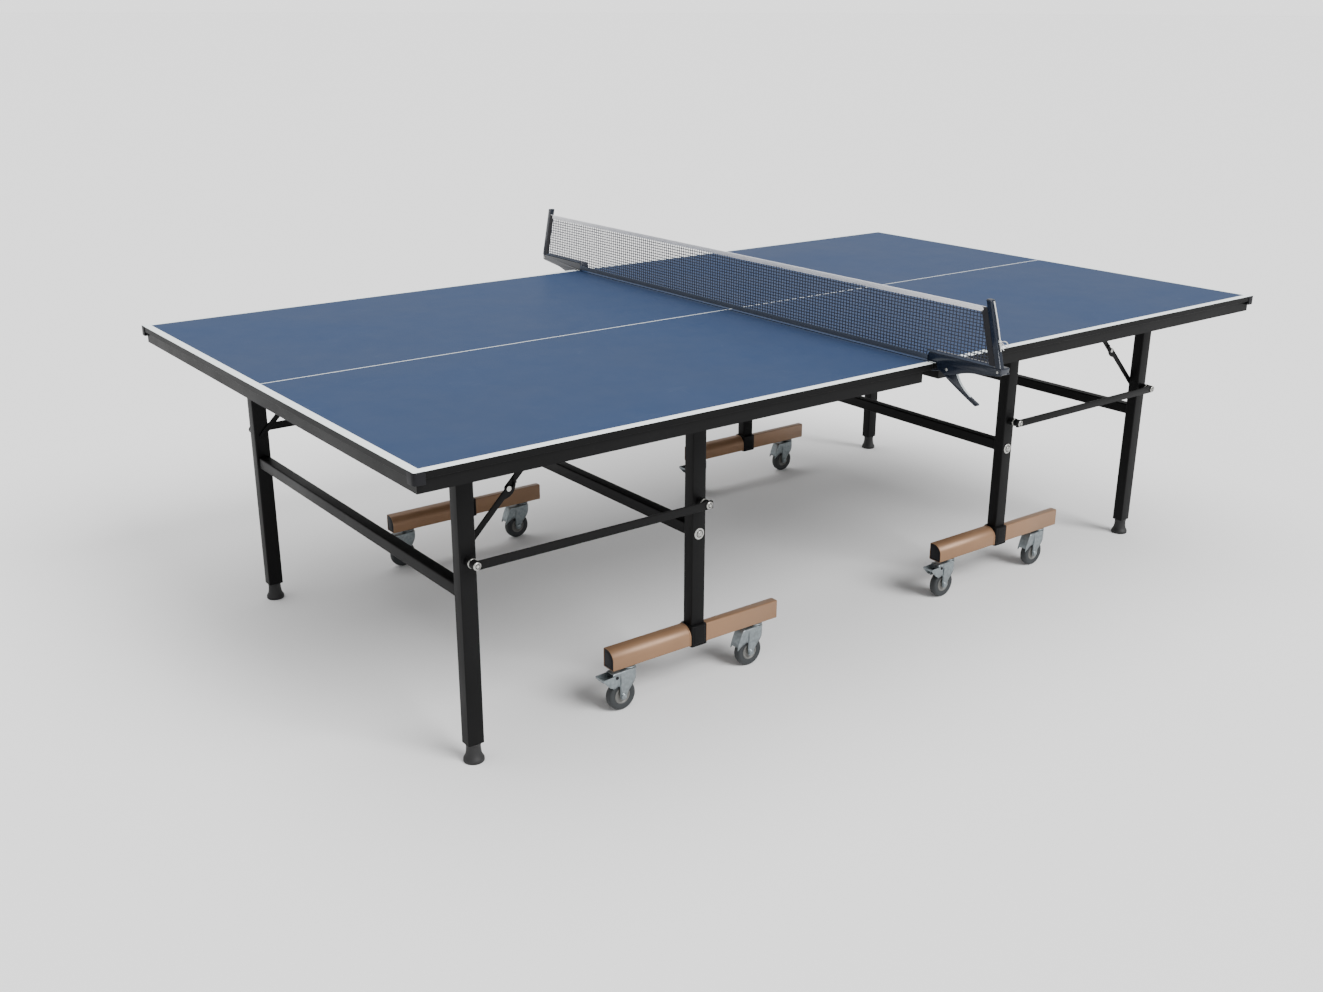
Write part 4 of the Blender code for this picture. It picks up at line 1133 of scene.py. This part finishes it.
# ---- bolts and washers ----
# Bolt and washer outlines, in shares of the radius and of the height.
BOLT_SHAPE = ((1.0, 0.10), (1.0, 0.30), (0.93, 0.50), (0.72, 0.72), (0.58, 0.76), (0.52, 0.66),
              (0.42, 0.70), (0.36, 0.96), (0.20, 1.0), (0.03, 1.01))
WASHER_SHAPE = ((1.0, 0.35), (1.0, 0.6), (0.96, 1.0), (0.62, 0.9))


def seated(shape, rim, x, z, y_sign, seat, radius, tall, steps):
    """A turned head of the shape, standing out from seat, whose buried rim is a little smaller."""
    profile = [(radius * rim, seat - 0.0002), *((radius * r, seat + tall * h) for r, h in shape)]
    return turned_out(profile, y_sign, (x, z), steps)


def bolt(x, z, y_sign, seat, radius, tall, steps=36):
    """A domed head with a shallow ring round its middle."""
    return seated(BOLT_SHAPE, 0.96, x, z, y_sign, seat, radius, tall, steps)


def shade_ring(x, z, y_sign, at, radius):
    """A thin dark ring that fills a bolt head's recess: painted shade."""
    turn = np.arange(8) * math.tau / 8
    section = [(radius + 0.0009 * math.cos(t), y_sign * (at + 0.0005 * math.sin(t))) for t in turn]
    return turned(section, (x, z), "Y", 32, loop=True)


def washer(x, z, y_sign, seat, radius, thick):
    return seated(WASHER_SHAPE, 0.97, x, z, y_sign, seat, radius, thick, 40)

class TABLE_OT_fasteners(bpy.types.Operator):
    """Make the bolts, washers and knuckle rivets"""

    bl_idname = "table.fasteners"
    bl_label = "Bolts and washers"

    def execute(self, context):
        size, steel, shade_paint = sizes(), finish("bolt_steel"), finish("moulded_black")
        for half, side in HALVES:
            _, knuckle, _ = brace_points(side)
            for name, y_sign in SIDES:
                for leg, x, body in (("wheel_leg", side * WHEEL_LEG_X, "base"),
                                     ("end_leg", side * END_LEG_X, "end_frame")):
                    # Dark rings in each link bolt head's recess and round the crossbar bolt's head: painted
                    # shade.
                    rings = []
                    if leg == "wheel_leg":
                        rings.append(shade_ring(x + 0.001, CROSS_BOLT_Z, y_sign, LEG_FACE + 0.0014, 0.0086))
                    shells = [bolt(x, LINK_Z, y_sign, LINK_OUT, size.bolt_head, 0.0046),
                              washer(x, LINK_Z, y_sign, LINK_IN - 0.0150, 0.0112, 0.0030),
                              bolt(x, LINK_Z, y_sign, LINK_IN - 0.0122, 0.0104, 0.0020)]
                    piece(f"{half}_{name}_{leg}_link_bolt", shells, steel, f"{half}_{body}")
                    rings.append(shade_ring(x, LINK_Z, y_sign, LINK_OUT + 0.0032, 0.0052))
                    piece(f"{half}_{name}_{leg}_bolt_groove", rings, shade_paint, f"{half}_{body}")
                x = side * WHEEL_LEG_X
                shells = [washer(x, CROSS_BOLT_Z, y_sign, LEG_FACE, size.washer, 0.0016),
                          bolt(x + 0.001, CROSS_BOLT_Z, y_sign, LEG_FACE + 0.0012, 0.0070, 0.0038)]
                piece(f"{half}_{name}_crossbar_bolt", shells, steel, f"{half}_base")
                inner = abs(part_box(f"{half}_{name}_upper_brace")[0 if y_sign > 0 else 1].y)
                outer = abs(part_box(f"{half}_{name}_lower_brace")[1 if y_sign > 0 else 0].y)
                shells = [bolt(*knuckle, y_sign, outer, 0.0058, FLUSH_HEAD, 24),
                          bolt(*knuckle, -y_sign, -inner, 0.0052, 0.0020, 24)]
                piece(f"{half}_{name}_knuckle_rivet", shells, steel, f"{half}_lower_braces")
        return {"FINISHED"}


# ---- net set ----
def across(points, y_sign):
    """(distance from the middle, height) points on one long side."""
    return np.asarray(points, float) * np.array([y_sign, 1.0])


def bowed(start, pull, end, steps=14):
    """A quadratic curve from start to end, drawn towards pull."""
    t = np.linspace(0, 1, steps)[:, None]
    start, pull, end = np.array(start), np.array(pull), np.array(end)
    return (1 - t) ** 2 * start + 2 * t * (1 - t) * pull + t ** 2 * end


class TABLE_OT_clamps(bpy.types.Operator):
    """Make the net clamps, their levers, the posts and the small screws"""

    bl_idname = "table.clamps"
    bl_label = "Net clamps and posts"

    def execute(self, context):
        paint = finish("navy_gloss")
        x0, x1 = CLAMP_LOW.x, CLAMP_HIGH.x
        jaw, end, top = CLAMP_LOW.y, CLAMP_HIGH.y, CLAMP_HIGH.z
        seat, edge = TABLE_TOP + 0.0003, HALF_WIDTH + 0.0040
        py, pz = LEVER_PIVOT
        pivot, pad = np.array([py, pz]), BOARD_UNDER - 0.0003
        middle = (LEVER_LOW.x + LEVER_HIGH.x) / 2
        for name, y_sign in SIDES:
            arm = softened([(jaw, seat), (0.860, seat), (end - 0.002, ARM_TIP), (end, top),
                            (jaw + 0.004, top), (jaw, top - 0.008)],
                           [0.001, 0.010, 0.004, 0.005, 0.004, 0.004], 6)
            cheek = softened([(edge, 0.768), (edge, 0.7480), (0.790, CLAMP_LOW.z),
                              (0.806, CLAMP_LOW.z), (0.835, 0.7480), (0.862, 0.7552),
                              (0.950, ARM_TIP - 0.002), (end, ARM_TIP + 0.001),
                              (end, ARM_TIP + 0.004), (0.860, 0.768)],
                             [0.001, 0.003, 0.006, 0.006, 0.010, 0.010, 0.004, 0.001, 0.001, 0.010], 6)
            shells = [slab(across(arm, y_sign), x0, x1, "X", 0.0022, 4),
                      slab(across(cheek, y_sign), x0 + 0.0001, x0 + 0.0045, "X", 0.0012),
                      slab(across(cheek, y_sign), x1 - 0.0045, x1 - 0.0001, "X", 0.0012)]
            piece(f"{name}_clamp_arm", shells, paint, "right_top", [f"{name}_net_clamp"])
            head = [(0.7400, pad - 0.0100), (0.7400, pad), (0.7640, pad), (0.7720, pad + 0.0025),
                    (py - 0.006, pz + 0.0078), (py + 0.006, pz + 0.0078)]
            outer = pivot + bowed((0.0200, -0.0030), (0.0360, -0.0422), (0.0920, -0.0647))
            inner = pivot + bowed((0.0835, -0.0725), (0.0290, -0.0466), (-0.0300, -0.0105))
            corners = np.concatenate([head, outer, [outer[-1] + (0.0004, -0.0040)], inner])
            radii = [0.003, 0.002, 0.004, 0.006, 0.005, 0.005] + [0.001] * (len(corners) - 6)
            handle = softened(corners, radii, 4)
            piece(f"{name}_clamp_handle",
                  [slab(across(handle, y_sign), middle - LEVER_HALF, middle + LEVER_HALF, "X", 0.0016, 4)],
                  paint, f"{name}_lever", [f"{name}_clamp_lever"], crease=45)
            # A pale strip along the handle's outer edge: a painted highlight in place of the gloss
            # reflection.
            rim = across(outer[:-3], y_sign)
            rim = np.stack([np.full(len(rim), middle - 0.0011), rim[:, 0], rim[:, 1] + 0.0003], axis=-1)
            strip = carried(rim, rounded_rect((0, 0), 0.0050, 0.0014, 0.0006, 3), (1, 0, 0))
            piece(f"{name}_handle_rim", [strip], finish("polished_edge"), f"{name}_lever",
                  crease=45)
            self.post(name, y_sign, paint)
            screws = []
            for y, z, radius in ((py, pz + 0.0006, 0.0036),
                                 (POST_BASE[0] - 0.002, POST_BASE[1] - 0.010, 0.0030)):
                for x, way in ((x0, -1), (x1, 1)):
                    head = [(radius, x - way * 0.0002), (radius, x + way * 0.0005),
                            (radius * 0.8, x + way * 0.0011), (radius * 0.3, x + way * 0.0014)]
                    screws.append(turned(head, (y_sign * y, z), "X", 20))
            piece(f"{name}_clamp_screws", screws, finish("bolt_steel"), "right_top")
        return {"FINISHED"}

    def post(self, name, y_sign, paint):
        """A rounded square post carried up its lean, with a small head and a foot flange."""
        base, top = np.array(POST_BASE), np.array(POST_TOP)
        rise = np.array([0.0, 0.004, 0.010, 0.5, 0.955, 0.972, 0.985, 0.995, 1.0])
        swell = np.array([1.12, 1.10, 1.0, 1.0, 1.0, 1.04, 1.04, 0.96, 0.80])
        place = base + (top - base) * rise[:, None]
        section = rounded_rect((0, 0), 2 * POST_HALF, 2 * POST_HALF, 0.0026, 5)
        rings = section[None] * swell[:, None, None]
        x = POST_X + rings[..., 0]
        y = y_sign * (place[:, :1] + rings[..., 1])
        shell = lofted(np.stack([x, y, np.broadcast_to(place[:, 1:], x.shape)], axis=-1))
        piece(f"{name}_post_tube", [shell], paint, "right_top", [f"{name}_net_post"],
              crease=50)

def net_floor(y):
    """The net's lower edge: level over the boards, and one step up at each clamp's jaw."""
    return np.where(np.abs(y) < JAW_Y, NET_LOW, CLAMP_HIGH.z + 0.0006)


def strands(paths, wide, deep):
    """Many strands at once: paths is (strands, points, 3), all in the net's plane; each has a
    six-sided oval section, wide in the plane and deep along X."""
    along = np.gradient(paths, axis=1)
    along /= np.linalg.norm(along, axis=2, keepdims=True)
    square = np.cross(along, (1.0, 0.0, 0.0))
    turn = np.arange(6) * math.tau / 6
    rings = (paths[:, :, None] + (deep / 2 * np.cos(turn))[None, None, :, None] * np.array([1.0, 0.0, 0.0])
             + (wide / 2 * np.sin(turn))[None, None, :, None] * square[:, :, None])
    count, stations, sides = rings.shape[:3]
    index = np.arange(count * stations * sides).reshape(count, stations, sides)
    ahead = np.roll(index, -1, axis=2)
    quads = np.stack([index[:, :-1], ahead[:, :-1], ahead[:, 1:], index[:, 1:]], axis=-1).reshape(-1, 4)
    ends = np.concatenate([index[:, 0, ::-1], index[:, -1]])
    return rings.reshape(-1, 3), quads.tolist() + ends.tolist()


def knots(y, z, size):
    """A bead with eight faces and six corners at every crossing."""
    corners = np.array([(1, 0, 0), (-1, 0, 0), (0, 1, 0), (0, -1, 0), (0, 0, 1), (0, 0, -1)], float)
    corners *= np.array([0.75, 1.0, 1.0]) * size
    faces = np.array([(0, 2, 4), (2, 1, 4), (1, 3, 4), (3, 0, 4),
                      (2, 0, 5), (1, 2, 5), (3, 1, 5), (0, 3, 5)])
    centres = np.stack([np.full(y.size, NET_X), y.ravel(), z.ravel()], axis=-1)
    points = (centres[:, None] + corners[None]).reshape(-1, 3)
    return points, (faces[None] + 6 * np.arange(y.size)[:, None, None]).reshape(-1, 3).tolist()


def ribbon(y, low, high, thick, wave):
    """A folded tape seen as a closed band: at each y its section is a rounded strip from low to
    high, pinched where it is sewn, and its middle sways along X by a small wave."""
    turn = np.linspace(0, math.tau, 24, endpoint=False)
    up = np.sign(np.sin(turn)) * np.abs(np.sin(turn)) ** 0.55
    pinch = 1 - 0.45 * np.exp(-((up + 0.72) / 0.10) ** 2)
    out = thick / 2 * np.sign(np.cos(turn)) * np.abs(np.cos(turn)) ** 0.35 * pinch
    middle, half = (low + high) / 2, (high - low) / 2
    x = NET_X + wave[:, None] + out[None]
    z = middle[:, None] + half[:, None] * up[None]
    return lofted(np.stack([x, np.broadcast_to(y[:, None], x.shape), z], axis=-1))


class TABLE_OT_net(bpy.types.Operator):
    """Make the knotted net with its tapes and sleeves"""

    bl_idname = "table.net"
    bl_label = "Net"

    def execute(self, context):
        size = sizes()
        shoulder = NET_TOP - size.top_tape
        reach = post_inner(NET_LOW + 0.03, 0.010)
        count = int(2 * reach / size.cell_wide)
        y = (np.arange(count) - (count - 1) / 2) * size.cell_wide
        leaning = POST_BASE[1] + (np.abs(y) + POST_HALF + 0.010 - POST_BASE[0]) / POST_LEAN
        low, high = net_floor(y) + 0.003, np.minimum(shoulder + 0.006, leaning)
        kept = high - low > 0.01
        y, low, high = y[kept], low[kept], high[kept]
        t = np.linspace(0, 1, 30)
        z = low[:, None] + (high - low)[:, None] * t
        sway = 0.00035 * np.sin(z * math.pi / size.cell_tall + np.arange(len(y))[:, None] * math.pi)
        upright = np.stack([np.full(z.shape, NET_X), y[:, None] + sway, z], axis=-1)
        levels = np.arange(NET_LOW + size.bottom_tape + size.cell_tall * 0.6, shoulder, size.cell_tall)
        inner = np.where(levels < CLAMP_HIGH.z + ARM_HEM, JAW_Y, post_inner(levels, 0.010))
        t = np.linspace(-1, 1, 260)
        flat_y = inner[:, None] * t
        level_turns = np.arange(len(levels))[:, None] * math.pi
        dip = 0.00035 * np.sin(flat_y * math.pi / size.cell_wide + level_turns)
        level = np.stack([np.full(flat_y.shape, NET_X), flat_y, levels[:, None] + dip], axis=-1)
        cross_y, cross_z = np.meshgrid(y, levels)
        inside = (cross_z > net_floor(cross_y) + ARM_HEM) & (np.abs(cross_y) < post_inner(cross_z, 0.012))
        shells = [strands(paths, size.strand_wide, STRAND_DEEP) for paths in (upright, level)]
        shells.append(knots(cross_y[inside], cross_z[inside], size.strand_wide * 0.72))
        mesh = piece("net_mesh", shells, finish("net_strand"), "right_top", ["net"], crease=70)
        tapes = [self.top_tape(size), self.bottom_tape(size), self.sleeves(size)]
        return {"FINISHED"}

    def top_tape(self, size):
        y = np.linspace(-1, 1, 160) * post_inner(NET_TOP, 0.0025)
        wave = 0.0003 * np.sin(y * 23) + 0.0002 * np.sin(y * 61 + 1)
        low, high = np.full(len(y), NET_TOP - size.top_tape), np.full(len(y), NET_TOP)
        shell = ribbon(y, low, high, 0.0028, wave)
        return piece("net_top_tape", [shell], finish("white_tape"), "right_top", crease=60)

    def bottom_tape(self, size):
        reach = post_inner(CLAMP_HIGH.z + 0.01, 0.0030)
        runs = ((-reach, -JAW_Y, ARM_HEM), (-JAW_Y, JAW_Y, size.bottom_tape), (JAW_Y, reach, ARM_HEM))
        shells = []
        for start, end, tall in runs:
            y = np.linspace(start, end, 300 if tall > ARM_HEM else 40)
            low = np.full(len(y), float(net_floor((start + end) / 2)))
            shells.append(ribbon(y, low, low + tall, 0.0024, 0.0002 * np.sin(y * 31)))
        return piece("net_bottom_tape", shells, finish("hem_cloth"), "right_top", crease=60)

    def sleeves(self, size):
        """Two cloth sleeves that lean with the posts, from the clamps to under the top tape's end."""
        shells = []
        z = np.linspace(CLAMP_HIGH.z + 0.003, NET_TOP - 0.001, 30)
        turn = np.linspace(0, math.tau, 20, endpoint=False)
        for y_sign in (-1, 1):
            outer = post_inner(z, -0.0006)
            middle = outer - size.sleeve / 2
            x = NET_X + 0.0017 * np.cos(turn)[None] + 0 * z[:, None]
            side = np.sign(np.sin(turn)) * np.abs(np.sin(turn)) ** 0.6
            y = y_sign * (middle[:, None] + size.sleeve / 2 * side[None])
            shells.append(lofted(np.stack([x, y, np.broadcast_to(z[:, None], x.shape)], axis=-1)))
        return piece("net_sleeves", shells, finish("sleeve_cloth"), "right_top", crease=60)


# ---- add-on ----
OPERATORS = (
    TABLE_OT_stage, TABLE_OT_net_cord, TABLE_OT_boards, TABLE_OT_corner_caps, TABLE_OT_wheel_legs,
    TABLE_OT_end_legs, TABLE_OT_caster_bars, TABLE_OT_casters, TABLE_OT_linkage, TABLE_OT_fasteners,
    TABLE_OT_clamps, TABLE_OT_net,
)
SETTINGS = (("table_sizes", TableSizes), ("table_colours", TableColours), ("table_stage", StageSettings))


class TABLE_PT_looks(bpy.types.Panel):
    """Lists the table's settings and its making steps"""

    bl_idname = "TABLE_PT_looks"
    bl_label = "Table tennis table"
    bl_space_type = "VIEW_3D"
    bl_region_type = "UI"
    bl_category = "Table"

    def draw(self, context):
        for attribute, group in SETTINGS:
            box = self.layout.box()
            for name in group.__annotations__:
                box.prop(getattr(context.scene, attribute), name)
        for operator in OPERATORS:
            self.layout.operator(operator.bl_idname)


def register():
    for _, group in SETTINGS:
        bpy.utils.register_class(group)
    for operator in OPERATORS:
        bpy.utils.register_class(operator)
    bpy.utils.register_class(TABLE_PT_looks)
    for attribute, group in SETTINGS:
        setattr(bpy.types.Scene, attribute, PointerProperty(type=group))


def unregister():
    for attribute, _ in SETTINGS:
        delattr(bpy.types.Scene, attribute)
    bpy.utils.unregister_class(TABLE_PT_looks)
    for operator in reversed(OPERATORS):
        bpy.utils.unregister_class(operator)
    for _, group in SETTINGS:
        bpy.utils.unregister_class(group)


def main():
    register()
    for operator in OPERATORS:
        module, name = operator.bl_idname.split(".")
        getattr(getattr(bpy.ops, module), name)()


if __name__ == "__main__":
    main()
